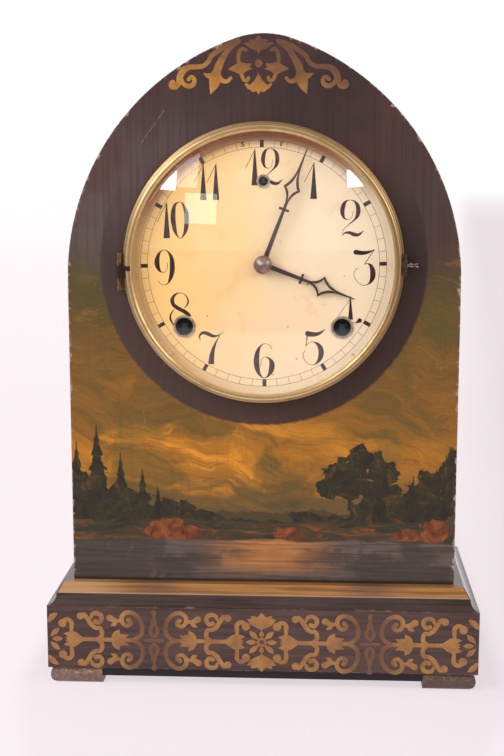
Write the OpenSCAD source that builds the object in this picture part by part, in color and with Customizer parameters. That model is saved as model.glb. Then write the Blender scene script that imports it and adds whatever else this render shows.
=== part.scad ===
// Beehive shelf clock: a lancet wooden case with a painted front, a round dial behind a
// hinged glass, and an eight-day movement that strikes the hours on a coiled gong.
// Millimetres. The origin is at the middle of the footprint, on the table; the front faces -Y.

/* [Base] */
// Width of the base across its rails
base_w = 254; // [244:1:270]
// Depth of the base, which is the depth of the whole clock
base_d = 137; // [132:1:150]
// Height of the feet
foot_h = 10.5; // [8:0.5:14]
// Length of a foot along each of its two outer faces
foot_w = 31; // [26:1:36]
// Set-back of the feet from the faces of the rails
foot_inset = 1.2; // [1:0.2:5]
// Thickness of the board under the base, between the feet
bottom_t = 5.2; // [4:0.2:7]
// Height of the base rails
rail_h = 38; // [32:1:46]
// Thickness of the base rails
rail_t = 12; // [9:1:16]
// Height of the hollow (cove) of the top board's edge
cove_h = 6.1; // [4:0.1:8]
// Depth of that hollow, from the rail's face
cove_in = 5; // [3:0.5:6]
// Height of the bevel above the hollow
bevel_h = 6.2; // [4:0.1:8]
// Depth of that bevel
bevel_in = 3.5; // [2:0.5:5]

/* [Case] */
// Width of the case across its upright sides
case_w = 225.7; // [220:0.1:230]
// Set-back of the case front from the base front
case_set_back = 14.1; // [11:0.1:15]
// Height at which the pointed arch springs, above the base
spring_up = 179; // [172:1:190]
// Radius of the two side arcs of the arch
arch_r = 143.4; // [136:0.1:150]
// Radius of the rounded crown between them
crown_r = 49.35; // [30:0.05:70]
// Thickness of the front board
board_t = 10; // [8:0.5:12]
// Wall of the bent case shell
shell_t = 8; // [6:0.5:11]
// Thickness of the back board
back_t = 6; // [5:0.5:8]
// Set-back of the back board inside the shell's rim
back_recess = 5.5; // [5:0.5:9]

/* [Back door] */
// Width of the door opening in the back board
door_w = 130; // [110:1:140]
// Height of the opening's straight part
door_h = 105; // [90:1:115]
// Height of the opening's lower edge above the base
door_up = 34; // [28:1:40]
// Clearance round the door
door_gap = 0.8; // [0.6:0.1:1.2]

/* [Dial and bezel] */
// Height of the dial centre above the base
dial_up = 188.6; // [184:0.1:192]
// Radius of the hole in the front board behind the dial
board_hole_r = 72; // [70:0.5:73]
// Radius of the dial plate
dial_r = 74.5; // [74:0.1:76]
// Thickness of the dial plate
dial_t = 0.8; // [0.6:0.1:1]
// Depth of the recess that takes the dial plate
dial_recess = 2.2; // [2:0.1:2.6]
// Outer radius of the bezel's flange
bezel_r = 80.5; // [79.5:0.1:81]
// Radius of the visible glass
sight_r = 74.6; // [73.8:0.1:74.8]
// Radius of the glass at its edge
glass_r = 75.8; // [75.6:0.1:76]
// Thickness of the glass
glass_t = 1.6; // [1.4:0.1:2]
// Rise of the domed glass over its edge
glass_rise = 8.7; // [8:0.1:9]
// Height of the glass edge over the case front
glass_up = 5.1; // [5:0.1:5.6]
// Height of the hinge barrel of the bezel
hinge_h = 22; // [18:1:26]
// Drop of the middle of that hinge under the dial centre
hinge_down = 4.4; // [0:0.2:6]
// Radius of the hinge barrel
barrel_r = 1.4; // [1.3:0.1:1.6]
// Radius of the hinge pin
hinge_pin_r = 0.7; // [0.6:0.05:0.8]
// Length of the little knob on the bezel
knob_l = 6.3; // [5:0.1:8]
// Radius of that knob
knob_r = 1.6; // [1.4:0.1:1.8]

/* [Hands] */
// Length of the minute hand from the centre
minute_l = 70; // [66:0.5:71]
// Length of the hour hand from the centre
hour_l = 56; // [50:0.5:60]
// Thickness of both hands
hand_t = 0.7; // [0.5:0.1:0.9]
// Angle of the minute hand from twelve, as the clock stands
minute_at = 20.9; // [0:0.1:360]
// Angle of the hour hand from twelve, as the clock stands
hour_at = 110.6; // [0:0.1:360]
// Radius of the domed hand nut
nut_r = 5.2; // [4.5:0.1:6]

/* [Movement] */
// Width of the movement plates
plate_w = 128; // [126:1:134]
// Height of the plates above the centre arbor
plate_top = 60; // [59:1:64]
// Height of the plates below the centre arbor
plate_bottom = 63; // [62:1:66]
// Thickness of the plates
plate_t = 1.6; // [1.4:0.1:2]
// Room between the plates
plate_gap = 32.3; // [32:0.1:34]
// Length of the spacers between the front board and the front plate
spacer_l = 3.9; // [3.7:0.1:4.6]
// Radius of the pillars between the plates
pillar_r = 3; // [2.5:0.1:3.3]
// Winding arbors: distance to each side of the centre
wind_x = 45.5; // [45:0.1:46]
// Winding arbors: distance below the centre
wind_down = 36.1; // [35.5:0.1:36.5]
// Side of the square on a winding arbor
wind_square = 3.6; // [3.2:0.1:4]
// Height of the rate regulator arbor above the centre
regulator_up = 47; // [47:0.1:48]
// Width of a mainspring
spring_w = 18; // [16:0.5:19]
// Outer radius of a wound mainspring
spring_r = 19; // [17:0.5:19]
// Turns of a mainspring
spring_turns = 8; // [6:1:9]
// Thickness of a wheel
wheel_t = 1.2; // [1:0.1:1.4]
// Length of the pendulum from its bending point to the middle of the bob
pendulum_l = 140; // [130:1:144]
// Radius of the pendulum bob
bob_r = 22; // [18:0.5:24]
// Thickness of the pendulum bob
bob_t = 9; // [7:0.5:10]

/* [Gong and hammer] */
// Outer radius of the gong coil
gong_r = 36; // [30:0.5:38]
// Turns of the gong coil
gong_turns = 4; // [3:1:5]
// Distance of the gong's middle to the right of the centre
gong_x = 28; // [27:0.5:32]
// Height of the gong's middle above the base
gong_up = 68; // [60:1:74]
// Length of the hammer head
hammer_l = 10; // [8:0.5:12]

/* [Hidden] */

// Colours
wood_dark = [0.16, 0.11, 0.10];
wood_raw = [0.52, 0.38, 0.24];
gold = [0.66, 0.45, 0.18];
brass = [0.76, 0.62, 0.35];
steel = [0.55, 0.56, 0.58];
blued = [0.20, 0.16, 0.18];
cream = [0.93, 0.87, 0.70];
clear = [0.85, 0.90, 0.92, 0.35];

// Roundness of turned parts
round_n = 64;

// Heights
rail_z0 = foot_h;
bottom_in = 2;
rail_z1 = rail_z0 + rail_h;
cove_z1 = rail_z1 + cove_h;
base_z1 = cove_z1 + bevel_h;
dial_z = base_z1 + dial_up;
spring_z = base_z1 + spring_up;

// Depths, counted along +Y from the front to the back
base_y0 = -base_d / 2;
base_y1 = base_d / 2;
case_y0 = base_y0 + case_set_back;
board_y1 = case_y0 + board_t;
back_y1 = base_y1 - back_recess;
back_y0 = back_y1 - back_t;
plate_y0 = board_y1 + spacer_l;
plate_y1 = plate_y0 + plate_t;
rear_y0 = plate_y1 + plate_gap;
rear_y1 = rear_y0 + plate_t;
dial_y1 = case_y0 + dial_recess;
dial_y0 = dial_y1 - dial_t;

// The lancet outline: two side arcs, and a crown arc that both run into
arc_x = arch_r - case_w / 2;
crown_off = arch_r - crown_r;
crown_up = sqrt(crown_off * crown_off - arc_x * arc_x);

// Teeth, as shares of the circular pitch, and their height as a share of the module
tooth_pitch = 0.42;
tooth_tip = 0.20;
tooth_root = 0.46;
tooth_add = 0.8;
tooth_ded = 1.15;
trundle_share = 0.38;

// Tooth counts and modules of the going train, from the great wheel on
great_teeth = 72;
great_mod = 0.9;
second_pinion = 12;
second_teeth = 40;
second_mod = 0.8;
centre_pinion = 20;
centre_teeth = 80;
centre_mod = 0.5;
fourth_pinion = 8;
fourth_teeth = 72;
fourth_mod = 0.5;
escape_pinion = 6;
escape_teeth = 40;
escape_r = 12;

// Tooth counts and modules of the motion work
cannon_teeth = 12;
minute_teeth = 36;
cannon_mod = 0.5;
minute_pinion = 10;
hour_teeth = 40;

// Tooth counts and modules of the strike train, from the second wheel on
lift_teeth = 90;
lift_mod = 0.4;
lift_pins = 15;
cam_pinion = 6;
cam_teeth = 60;
cam_mod = 0.45;
warn_pinion = 8;
warn_teeth = 56;
warn_mod = 0.4;
fly_pinion = 7;

// Arbors, pivots and the clearances round them
arbor_r = 1.2;
pivot_r = 0.65;
run_gap = 0.06;
centre_r = 2;
wind_r = 2.5;
wind_core_r = 4.6;
fit_gap = 0.15;

// Distance of two meshing centres
function mesh(teeth, leaves, mod) = mod * (teeth + leaves) / 2;
// The point at distance ra from a and rb from b; side is +1 or -1
function meet(a, b, ra, rb, side) =
    let (d = norm(b - a), u = (b - a) / d, s = (ra * ra - rb * rb + d * d) / (2 * d))
    a + u * s + [-u[1], u[0]] * side * sqrt(ra * ra - s * s);
// The point at a distance and an angle from a
function polar(a, r, angle) = a + r * [cos(angle), sin(angle)];
// Direction from a to b
function heading(a, b) = atan2(b[1] - a[1], b[0] - a[0]);
// A list of 2D points followed by its mirror image in X, in reverse order
function both_sides(a) = concat(a, [for (i = [0:len(a) - 1]) let (p = a[len(a) - 1 - i]) [-p[0], p[1]]]);
// Points on a straight-sided quadratic curve from a to c that bends towards b
function bend(a, b, c, n) =
    [for (i = [0:n]) let (t = i / n) (1 - t) * (1 - t) * a + 2 * t * (1 - t) * b + t * t * c];

// Places of the arbors, from the dial centre: x to the right, z up
centre_at = [0, 0];
time_at = [wind_x, -wind_down];
strike_at = [-wind_x, -wind_down];
second_at = meet(centre_at, time_at, mesh(second_teeth, centre_pinion, second_mod),
    mesh(great_teeth, second_pinion, great_mod), -1);
escape_at = [0, 24];
fourth_at = meet(centre_at, escape_at, mesh(centre_teeth, fourth_pinion, centre_mod),
    mesh(fourth_teeth, escape_pinion, fourth_mod), -1);
span_angle = 47.25;
verge_at = escape_at + [0, escape_r / cos(span_angle)];
lift_at = [-second_at[0], second_at[1]];
cam_at = polar(lift_at, mesh(lift_teeth, cam_pinion, lift_mod), 132);
warn_at = polar(cam_at, mesh(cam_teeth, warn_pinion, cam_mod), 90);
fly_at = polar(warn_at, mesh(warn_teeth, fly_pinion, warn_mod), 100);
minute_wheel_at = polar(centre_at, mesh(minute_teeth, cannon_teeth, cannon_mod), 200);
regulator_at = [0, regulator_up];
hammer_at = [-8, -46];
lifter_at = [-14, 30];
counter_at = [10 - plate_w / 2, -2];
// The hour pinion and wheel share the distance of the cannon pinion and minute wheel
hour_mod = 2 * norm(minute_wheel_at - centre_at) / (hour_teeth + minute_pinion);
pillar_in = 6;
pillars_at = [
    [0, pillar_in - 1 - plate_bottom],
    [plate_w / 2 - pillar_in, 6], [pillar_in - plate_w / 2, 6],
    [34, plate_top - pillar_in], [-34, plate_top - pillar_in]
];
fixing_in = 4;
ear_x = 20;
ear_down = 15;
fixings_at = [
    [plate_w / 2 - fixing_in, plate_top - fixing_in], [fixing_in - plate_w / 2, plate_top - fixing_in],
    [ear_x, -plate_bottom - ear_down], [-ear_x, -plate_bottom - ear_down]
];
// Windows cut in both plates
windows = [[30, 33, 9], [-30, 33, 9], [0, -42, 5]];

// Planes of the wheels between the plates, from the front plate back
plane_gap = 1.3;
great_t = 1.6;
plane_step = (plate_gap - 2 * plane_gap - great_t) / 7;
function plane(k) = plate_y1 + plane_gap + k * plane_step;

// Pendulum, verge and regulator
pendulum_up = regulator_up - 1.5;
rod_y = rear_y1 + 11;
rod_r = 0.8;
fork_up = 8;
stud_up = 56;
bob_z = dial_z + pendulum_up - pendulum_l;
slide_h = 3;
slide_z0 = regulator_up - 1;
rack_r = 2.5;
rack_n = 12;
cock_y0 = rear_y1 + 5.6;
cock_t = 1.4;

// Glass and bezel; heights are counted towards the front from the plane y = 0
front_h = -case_y0;
bezel_back_h = front_h + 0.3;
glass_edge_h = front_h + glass_up;
glass_ball_r = (glass_r * glass_r + glass_rise * glass_rise) / (2 * glass_rise);
bezel_band_r = 1.65;
bezel_bead_r = 0.45;
bezel_seat_h = glass_edge_h + 0.35;
bezel_wall_r1 = bezel_r - 1.9;
bezel_wall_r0 = glass_r + 0.2;
hinge_x = -(bezel_r + 2);
hinge_y = case_y0 - 2.6;
hinge_z = dial_z - hinge_down;
leaf_t = 0.8;

// Hands; their backs are counted towards the front from the dial
hour_hand_h = 1.5;
minute_hand_h = 3.9;

// Back door
door_z0 = base_z1 + door_up;
door_axis_x = -door_w / 2 - 1.6;
door_axis_y = back_y1 + 2;
door_barrel_r = 1.6;
door_hinge_l = 24;
door_hinges_z = [door_z0 + 22, door_z0 + door_h - 22];
button_l = 30;
button_w = 9;
button_t = 3;
button_at = [door_w / 2 + 12, door_z0 + door_h / 2 + 20];

// Dial plate: its pins, and its holes, each with its place, radius and eyelet's radius
dial_pin_r = 0.5;
dial_pin_l = 5;
dial_pin_head_r = 0.9;
dial_pins_at = [for (i = [0:3]) polar(centre_at, (board_hole_r + dial_r) / 2, 45 + 90 * i)];
centre_hole_r = 4;
eyelet_wall = 0.5;
eyelet_up = 0.7;
dial_holes = [[time_at, 4.9, 6.45], [strike_at, 4.9, 6.45], [regulator_at, 2.45, 3.85]];

// Frame of the movement
between_plates = [second_at, fourth_at, escape_at, lift_at, cam_at, warn_at, fly_at, hammer_at,
    lifter_at, counter_at];
pillar_pin_r = 1.6;
screw_r = 1.75;
screw_l = 7;
stud_r = 1;
hour_pipe_r = 3.2;
centre_tip_r = 1.5;
regulator_r = 1.6;
wind_rear_r = 1.6;

// Ratchets and clicks
ratchet_r = 9;
ratchet_teeth = 20;
ratchet_t = 1.2;
ratchet_y = plane(0) + great_t + 0.3;
click_from = 17;
click_rivet_r = 1;
time_click_angle = 100;
strike_click_angle = 80;
spring_y = ratchet_y + ratchet_t + 1.4;

// Lifting cam, pallets and the parts of the strike
lift_cam_r = 6;
pallet_gap = 1.25;
lift_pin_ring = lift_mod * lift_teeth / 2 - tooth_ded * lift_mod - 1;
cam_r = 5;
count_r = 31;
count_teeth = 90;
gong_z = base_z1 + gong_up;
gong_y = plane(4) + 0.2;
gong_strip = 1.6;
hammer_r = 5;

// Shapes that repeat

// A 2D outline in the plane of the front, as a slab from y0 to y1
module slab(y0, y1) {
    translate([0, y1, 0]) rotate([90, 0, 0]) linear_extrude(y1 - y0) children();
}
// A round bar along Y from y0 to y1, on an axis at p from the dial centre
module bar(p, r, y0, y1) {
    translate([p[0], y0, dial_z + p[1]]) rotate([-90, 0, 0])
        cylinder(r = r, h = y1 - y0, $fn = round_n);
}
// A 2D outline drawn round p, as a slab from y0 to y1
module slab_at(p, y0, y1) {
    slab(y0, y1) translate([p[0], dial_z + p[1]]) children();
}
// A straight strap of a given width from a to b, in 2D
module strap(a, b, w) {
    translate(a) rotate(heading(a, b)) translate([0, -w / 2]) square([norm(b - a), w]);
}
// A toothed disc with a tooth space in the direction gap
module toothed(teeth, mod, gap) {
    r = mod * teeth / 2;
    step = 360 / teeth;
    flank = [
        [r - tooth_ded * mod, -tooth_root / 2], [r, -tooth_pitch / 2],
        [r + tooth_add * mod, -tooth_tip / 2], [r + tooth_add * mod, tooth_tip / 2],
        [r, tooth_pitch / 2], [r - tooth_ded * mod, tooth_root / 2]
    ];
    polygon([for (i = [0:teeth - 1], f = flank)
        polar([0, 0], f[0], gap + (i + 0.5 + f[1]) * step)]);
}
// The cut-outs between the spokes of a wheel
module crossing(r_in, r_out, spokes, spoke_w, turn) {
    difference() {
        circle(r_out, $fn = round_n);
        circle(r_in, $fn = round_n);
        for (i = [0:spokes - 1])
            rotate(turn + i * 360 / spokes) translate([0, -spoke_w / 2]) square([r_out + 1, spoke_w]);
    }
}
// A crossed-out wheel with teeth, at p, from the plane y
module wheel(p, teeth, mod, gap, y, t, spokes = 4, turn = 20) {
    rim = mod * teeth / 2 - tooth_ded * mod - 2;
    slab_at(p, y, y + t) difference() {
        toothed(teeth, mod, gap);
        crossing(max(3.2, rim * 0.22), rim, spokes, max(1.4, rim * 0.1), turn + gap);
    }
}
// A lantern pinion: round trundles between two shrouds; one trundle points along angle
module lantern(p, leaves, mod, angle, y, t) {
    r = mod * leaves / 2;
    trundle_r = trundle_share * PI * mod / 2;
    cap = 0.6;
    room = 0.5;
    shroud_r = r + trundle_r + 0.3;
    for (i = [0:leaves - 1])
        bar(polar(p, r, angle + i * 360 / leaves), trundle_r, y - room - cap / 2, y + t + room + cap / 2);
    bar(p, shroud_r, y - room - cap, y - room);
    bar(p, shroud_r, y + t + room, y + t + room + cap);
}
// An arbor between the plates with its two pivots
module arbor(p, r = arbor_r) {
    bar(p, r, plate_y1 + 0.2, rear_y0 - 0.2);
    bar(p, pivot_r, plate_y0 + 0.1, rear_y1 - 0.1);
}
// A flat strip wound in a spiral from r0 to r1, which ends in the direction end_angle
module spiral(r0, r1, turns, strip, n, end_angle) {
    steps = turns * n;
    function at(i, side) = polar([0, 0], r0 + (r1 - r0) * i / steps + side * strip / 2,
        end_angle - (steps - i) * 360 / n);
    polygon(concat([for (i = [0:steps]) at(i, 1)], [for (i = [0:steps]) at(steps - i, -1)]));
}
// The lancet outline of the case, set in by a given amount, from the base up
module lancet(inset) {
    join_z = spring_z + (arch_r - inset) * crown_up / crown_off;
    half = case_w / 2 - inset;
    translate([-half, base_z1]) square([2 * half, spring_z - base_z1]);
    intersection() {
        translate([-arc_x, spring_z]) circle(arch_r - inset, $fn = 128);
        translate([arc_x, spring_z]) circle(arch_r - inset, $fn = 128);
        translate([-case_w / 2, spring_z]) square([case_w, join_z - spring_z]);
    }
    intersection() {
        translate([0, spring_z + crown_up]) circle(crown_r - inset, $fn = 128);
        translate([-case_w / 2, join_z]) square([case_w, arch_r]);
    }
}
// The outline of the back door or its opening, grown by a given amount
module door_outline(grow) {
    half = door_w / 2 + grow;
    translate([-half, door_z0 - grow]) square([2 * half, door_h + grow]);
    intersection() {
        translate([0, door_z0 + door_h]) circle(half, $fn = 96);
        translate([-half, door_z0 + door_h]) square([2 * half, half]);
    }
}

// The case

module front_board() {
    color(wood_dark) difference() {
        slab(case_y0, board_y1) lancet(0);
        bar(centre_at, board_hole_r, case_y0 - 1, board_y1 + 1);
        bar(centre_at, dial_r + 0.5, case_y0 - 1, dial_y1);
        translate([hinge_x - 1.5, case_y0 - 1, hinge_z - hinge_h / 2 - fit_gap])
            cube([8.5, 1 + leaf_t + 0.1, hinge_h + 2 * fit_gap]);
        for (p = dial_pins_at) bar(p, dial_pin_r, case_y0, dial_y1 + dial_pin_l);
        for (p = fixings_at) bar(p, screw_r, board_y1 - screw_l, board_y1 + 1);
    }
}
module case_shell() {
    color(wood_dark) slab(board_y1, base_y1) difference() {
        lancet(0);
        lancet(shell_t);
        translate([-case_w / 2 + shell_t, base_z1 - 1]) square([case_w - 2 * shell_t, 2]);
    }
}
module back_board() {
    color(wood_raw) slab(back_y0, back_y1) difference() {
        lancet(shell_t + fit_gap);
        door_outline(0);
    }
}
module back_door() {
    color(wood_raw) slab(back_y0, back_y1) door_outline(-door_gap);
}
// One set of knuckles along the back door's hinge line, with a leaf to one side
module door_leaf(z, from, to, bore_r, side) {
    leaf_w = 9;
    sheet_t = 0.9;
    difference() {
        union() {
            translate([door_axis_x, door_axis_y, z + from])
                cylinder(r = door_barrel_r, h = to - from, $fn = round_n);
            translate([side > 0 ? door_axis_x : door_axis_x - leaf_w, back_y1, z + from])
                cube([leaf_w, sheet_t, to - from]);
            translate([door_axis_x - sheet_t / 2, back_y1 + sheet_t / 2, z + from])
                cube([sheet_t, door_axis_y - back_y1 - sheet_t / 2, to - from]);
        }
        translate([door_axis_x, door_axis_y, z + from - 1])
            cylinder(r = bore_r, h = to - from + 2, $fn = round_n);
    }
}
module door_hinge_leaves() {
    third = door_hinge_l / 3;
    color(brass) for (z = door_hinges_z)
        door_leaf(z, -third / 2 + 0.1, third / 2 - 0.1, hinge_pin_r + run_gap, 1);
}
module door_leaves_fixed() {
    third = door_hinge_l / 3;
    color(brass) for (z = door_hinges_z) {
        door_leaf(z, -1.5 * third, -third / 2, hinge_pin_r, -1);
        door_leaf(z, third / 2, 1.5 * third, hinge_pin_r, -1);
        translate([door_axis_x, door_axis_y, z - 1.5 * third])
            cylinder(r = hinge_pin_r, h = door_hinge_l, $fn = round_n);
    }
}
module door_button() {
    screw_hole_r = 1.6;
    head_r = 3;
    color(brass) {
        slab(back_y1 + 0.2, back_y1 + button_t) translate(button_at) difference() {
            union() {
                translate([-button_w / 2, -button_l / 2 + button_w / 2])
                    square([button_w, button_l - button_w]);
                for (s = [-1, 1]) translate([0, s * (button_l - button_w) / 2])
                    circle(button_w / 2, $fn = round_n);
            }
            circle(screw_hole_r, $fn = round_n);
        }
        translate([button_at[0], back_y1, button_at[1]]) rotate([-90, 0, 0])
            cylinder(r = screw_hole_r, h = button_t, $fn = round_n);
        translate([button_at[0], back_y1 + button_t, button_at[1]]) rotate([-90, 0, 0])
            cylinder(r = head_r, h = 1, $fn = round_n);
    }
}

// The base

// The moulded edge as a side profile: half the width at each height
function edge(half) = concat(
    [[half, rail_z1]],
    [for (i = [0:6]) let (a = 15 * i)
        [half - cove_in * sin(a), rail_z1 + cove_h * (1 - cos(a))]],
    [[half - cove_in - bevel_in, base_z1]]
);
module base_top() {
    side = edge(base_w / 2);
    front = edge(base_d / 2);
    color(gold) intersection() {
        slab(base_y0, base_y1) polygon(both_sides(side));
        rotate([90, 0, 90]) translate([0, 0, -base_w / 2]) linear_extrude(base_w)
            polygon(concat([[base_y1, base_z1], [base_y1, rail_z1]], [for (p = front) [-p[0], p[1]]]));
    }
}
module base_front_rail() {
    color(wood_dark) translate([-base_w / 2, base_y0, rail_z0]) cube([base_w, rail_t, rail_h]);
}
module base_side_rails() {
    color(wood_dark) for (s = [-1, 1])
        translate([s > 0 ? base_w / 2 - rail_t : -base_w / 2, base_y0 + rail_t, rail_z0])
            cube([rail_t, base_d - 2 * rail_t, rail_h]);
}
module base_back_rail() {
    color(wood_raw) translate([-base_w / 2, base_y1 - rail_t, rail_z0]) cube([base_w, rail_t, rail_h]);
}
// A foot seen from one side: rounded on the outer side, plain on the inner one
module foot_side() {
    nose = [[3.4, 0], [1.6, 0.12], [0.5, 0.28], [0, 0.47], [0.1, 0.64], [0.6, 0.82], [1.5, 1]];
    polygon(concat([for (p = nose) [p[0], p[1] * foot_h]], [[foot_w, foot_h], [foot_w, 0]]));
}
module feet() {
    color(wood_dark) for (sx = [-1, 1], sy = [-1, 1])
        translate([sx * (base_w / 2 - foot_inset), sy * (base_y1 - foot_inset), 0])
            mirror([sx > 0 ? 1 : 0, 0, 0]) mirror([0, sy > 0 ? 1 : 0, 0]) intersection() {
                translate([0, foot_w, 0]) rotate([90, 0, 0]) linear_extrude(foot_w) foot_side();
                rotate([90, 0, 90]) linear_extrude(foot_w) foot_side();
            }
}
// A cross-shaped board under the rails, its corners cut out for the feet
module base_bottom() {
    notch = 2 * (foot_inset + foot_w + fit_gap);
    color(wood_dark) difference() {
        translate([bottom_in - base_w / 2, base_y0 + bottom_in, rail_z0 - bottom_t])
            cube([base_w - 2 * bottom_in, base_d - 2 * bottom_in, bottom_t]);
        for (x = [-base_w / 2, base_w / 2], y = [base_y0, base_y1])
            translate([x, y, rail_z0]) cube([notch, notch, 3 * bottom_t], center = true);
    }
}

// Dial, bezel and glass

module dial_plate() {
    color(cream) difference() {
        bar(centre_at, dial_r, dial_y0, dial_y1);
        bar(centre_at, centre_hole_r, dial_y0 - 1, dial_y1 + 1);
        for (h = dial_holes) bar(h[0], h[1] + eyelet_wall, dial_y0 - 1, dial_y1 + 1);
        for (p = dial_pins_at) bar(p, dial_pin_r, dial_y0 - 1, dial_y1 + 1);
    }
}
module dial_fittings() {
    color(brass) {
        for (h = dial_holes) difference() {
            union() {
                bar(h[0], h[2], dial_y0 - eyelet_up, dial_y0);
                bar(h[0], h[1] + eyelet_wall, dial_y0, dial_y1 + 0.8);
            }
            bar(h[0], h[1], dial_y0 - 1, dial_y1 + 1);
        }
        for (p = dial_pins_at) {
            bar(p, dial_pin_r, dial_y0 - 0.4, dial_y1 + dial_pin_l);
            bar(p, dial_pin_head_r, dial_y0 - 0.4, dial_y0);
        }
    }
}
// A 2D profile of radius and height towards the front, turned about the dial's axis
module turned() {
    translate([0, 0, dial_z]) rotate([90, 0, 0]) rotate_extrude($fn = 128) children();
}
// The bezel's wall and the rounded band on it, in profile
module bezel_band() {
    band_h = bezel_seat_h + 0.4;
    translate([bezel_wall_r0, bezel_back_h])
        square([bezel_wall_r1 - bezel_wall_r0, band_h - bezel_back_h]);
    translate([bezel_wall_r1 - bezel_band_r, band_h]) circle(bezel_band_r, $fn = 32);
}
module bezel_rim() {
    edge_r = 0.6;
    lip_t = 0.9;
    color(brass) turned() difference() {
        union() {
            translate([bezel_wall_r0, bezel_back_h]) square([bezel_r - edge_r - bezel_wall_r0, 2 * edge_r]);
            translate([bezel_r - edge_r, bezel_back_h + edge_r]) circle(edge_r, $fn = 24);
            bezel_band();
            translate([sight_r + 0.2, bezel_seat_h]) square([bezel_wall_r1 - sight_r - 0.8, lip_t]);
            translate([sight_r + bezel_bead_r, bezel_seat_h + bezel_bead_r])
                circle(bezel_bead_r, $fn = 24);
        }
        square([bezel_wall_r0, bezel_seat_h]);
    }
}
module bezel_glass() {
    apex_h = glass_edge_h + glass_rise;
    color(clear) intersection() {
        difference() {
            translate([0, -(apex_h - glass_ball_r), dial_z]) sphere(glass_ball_r, $fn = 256);
            translate([0, -(apex_h - glass_ball_r), dial_z]) sphere(glass_ball_r - glass_t, $fn = 256);
        }
        bar(centre_at, glass_r, -apex_h - 1, -(glass_edge_h - glass_t - 1));
    }
}
module glass_ring() {
    ring_t = 1.2;
    ring_h1 = glass_edge_h - glass_t - 0.35;
    color(brass) turned()
        translate([sight_r - 0.2, ring_h1 - ring_t]) square([bezel_wall_r0 - sight_r + 0.2, ring_t]);
}
// The moving leaf: a knuckle, an arm to the bezel's wall, and a tab that laps over the band
module bezel_hinge_leaf() {
    third = hinge_h / 3;
    tab_out = 4.2;
    tab_l = 7;
    tab_w = 2.7;
    tab_z = dial_z - 2.2 - tab_w / 2;
    color(blued) difference() {
        union() {
            translate([hinge_x, hinge_y, hinge_z - third / 2 + 0.1])
                cylinder(r = barrel_r, h = third - 0.2, $fn = round_n);
            translate([hinge_x, hinge_y - barrel_r, hinge_z - third / 2 + 0.1])
                cube([-bezel_wall_r1 - hinge_x + 0.05, leaf_t, third - 0.2]);
            translate([hinge_x, hinge_y - barrel_r - tab_out, tab_z]) cube([leaf_t, tab_out + 0.2, tab_w]);
            translate([hinge_x, hinge_y - barrel_r - tab_out, tab_z]) cube([tab_l, leaf_t, tab_w]);
        }
        translate([hinge_x, hinge_y, hinge_z - hinge_h])
            cylinder(r = hinge_pin_r + run_gap, h = 2 * hinge_h, $fn = round_n);
        turned() bezel_band();
    }
}
module case_hinge_leaf() {
    third = hinge_h / 3;
    leaf_w = 7;
    web_t = 1.6;
    color(brass) for (z0 = [third / 2, -hinge_h / 2]) difference() {
        union() {
            translate([hinge_x, hinge_y, hinge_z + z0]) cylinder(r = barrel_r, h = third, $fn = round_n);
            translate([hinge_x - web_t / 2, hinge_y, hinge_z + z0])
                cube([web_t, case_y0 + leaf_t - hinge_y, third]);
            translate([hinge_x - web_t / 2, case_y0, hinge_z - hinge_h / 2])
                cube([leaf_w, leaf_t, hinge_h]);
        }
        translate([hinge_x, hinge_y, hinge_z - hinge_h])
            cylinder(r = hinge_pin_r, h = 2 * hinge_h, $fn = round_n);
    }
}
module bezel_hinge_pin() {
    color(steel) translate([hinge_x, hinge_y, hinge_z - hinge_h / 2 - 0.3])
        cylinder(r = hinge_pin_r, h = hinge_h + 0.6, $fn = round_n);
}
// A plate on a stem from the bezel's wall, and a knob with a neck, a collar, a waist and a head
module bezel_knob() {
    knob_h = bezel_back_h + 4;
    plate_out = 3.2;
    plate_t = 1.4;
    plate_wide = 4.8;
    plate_long = 12.6;
    stem_long = 5;
    neck_r = 1;
    neck_l = 1.6;
    collar_l = 1;
    head_l = 1.2;
    color(brass) {
        difference() {
            translate([bezel_wall_r1 - 1, -knob_h - plate_wide / 2, dial_z]) {
                translate([0, 0, -stem_long / 2]) cube([1 + plate_out, plate_wide, stem_long]);
                translate([1 + plate_out - plate_t, 0, -plate_long / 2])
                    cube([plate_t, plate_wide, plate_long]);
            }
            turned() {
                translate([0, bezel_back_h - 1]) square([bezel_wall_r1 + 0.02, knob_h]);
                translate([0, bezel_back_h - 1]) square([bezel_r, 2.4]);
            }
        }
        translate([bezel_wall_r1 + plate_out - 0.1, -knob_h, dial_z]) rotate([0, 90, 0]) {
            cylinder(r = neck_r, h = neck_l + 0.1, $fn = round_n);
            translate([0, 0, neck_l]) cylinder(r = knob_r, h = collar_l, $fn = round_n);
            translate([0, 0, neck_l + collar_l - 0.1])
                cylinder(r = knob_r - 0.35, h = knob_l - neck_l - collar_l - head_l + 0.2, $fn = round_n);
            translate([0, 0, knob_l - head_l]) cylinder(r = knob_r, h = head_l, $fn = round_n);
        }
    }
}

// Hands

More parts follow.
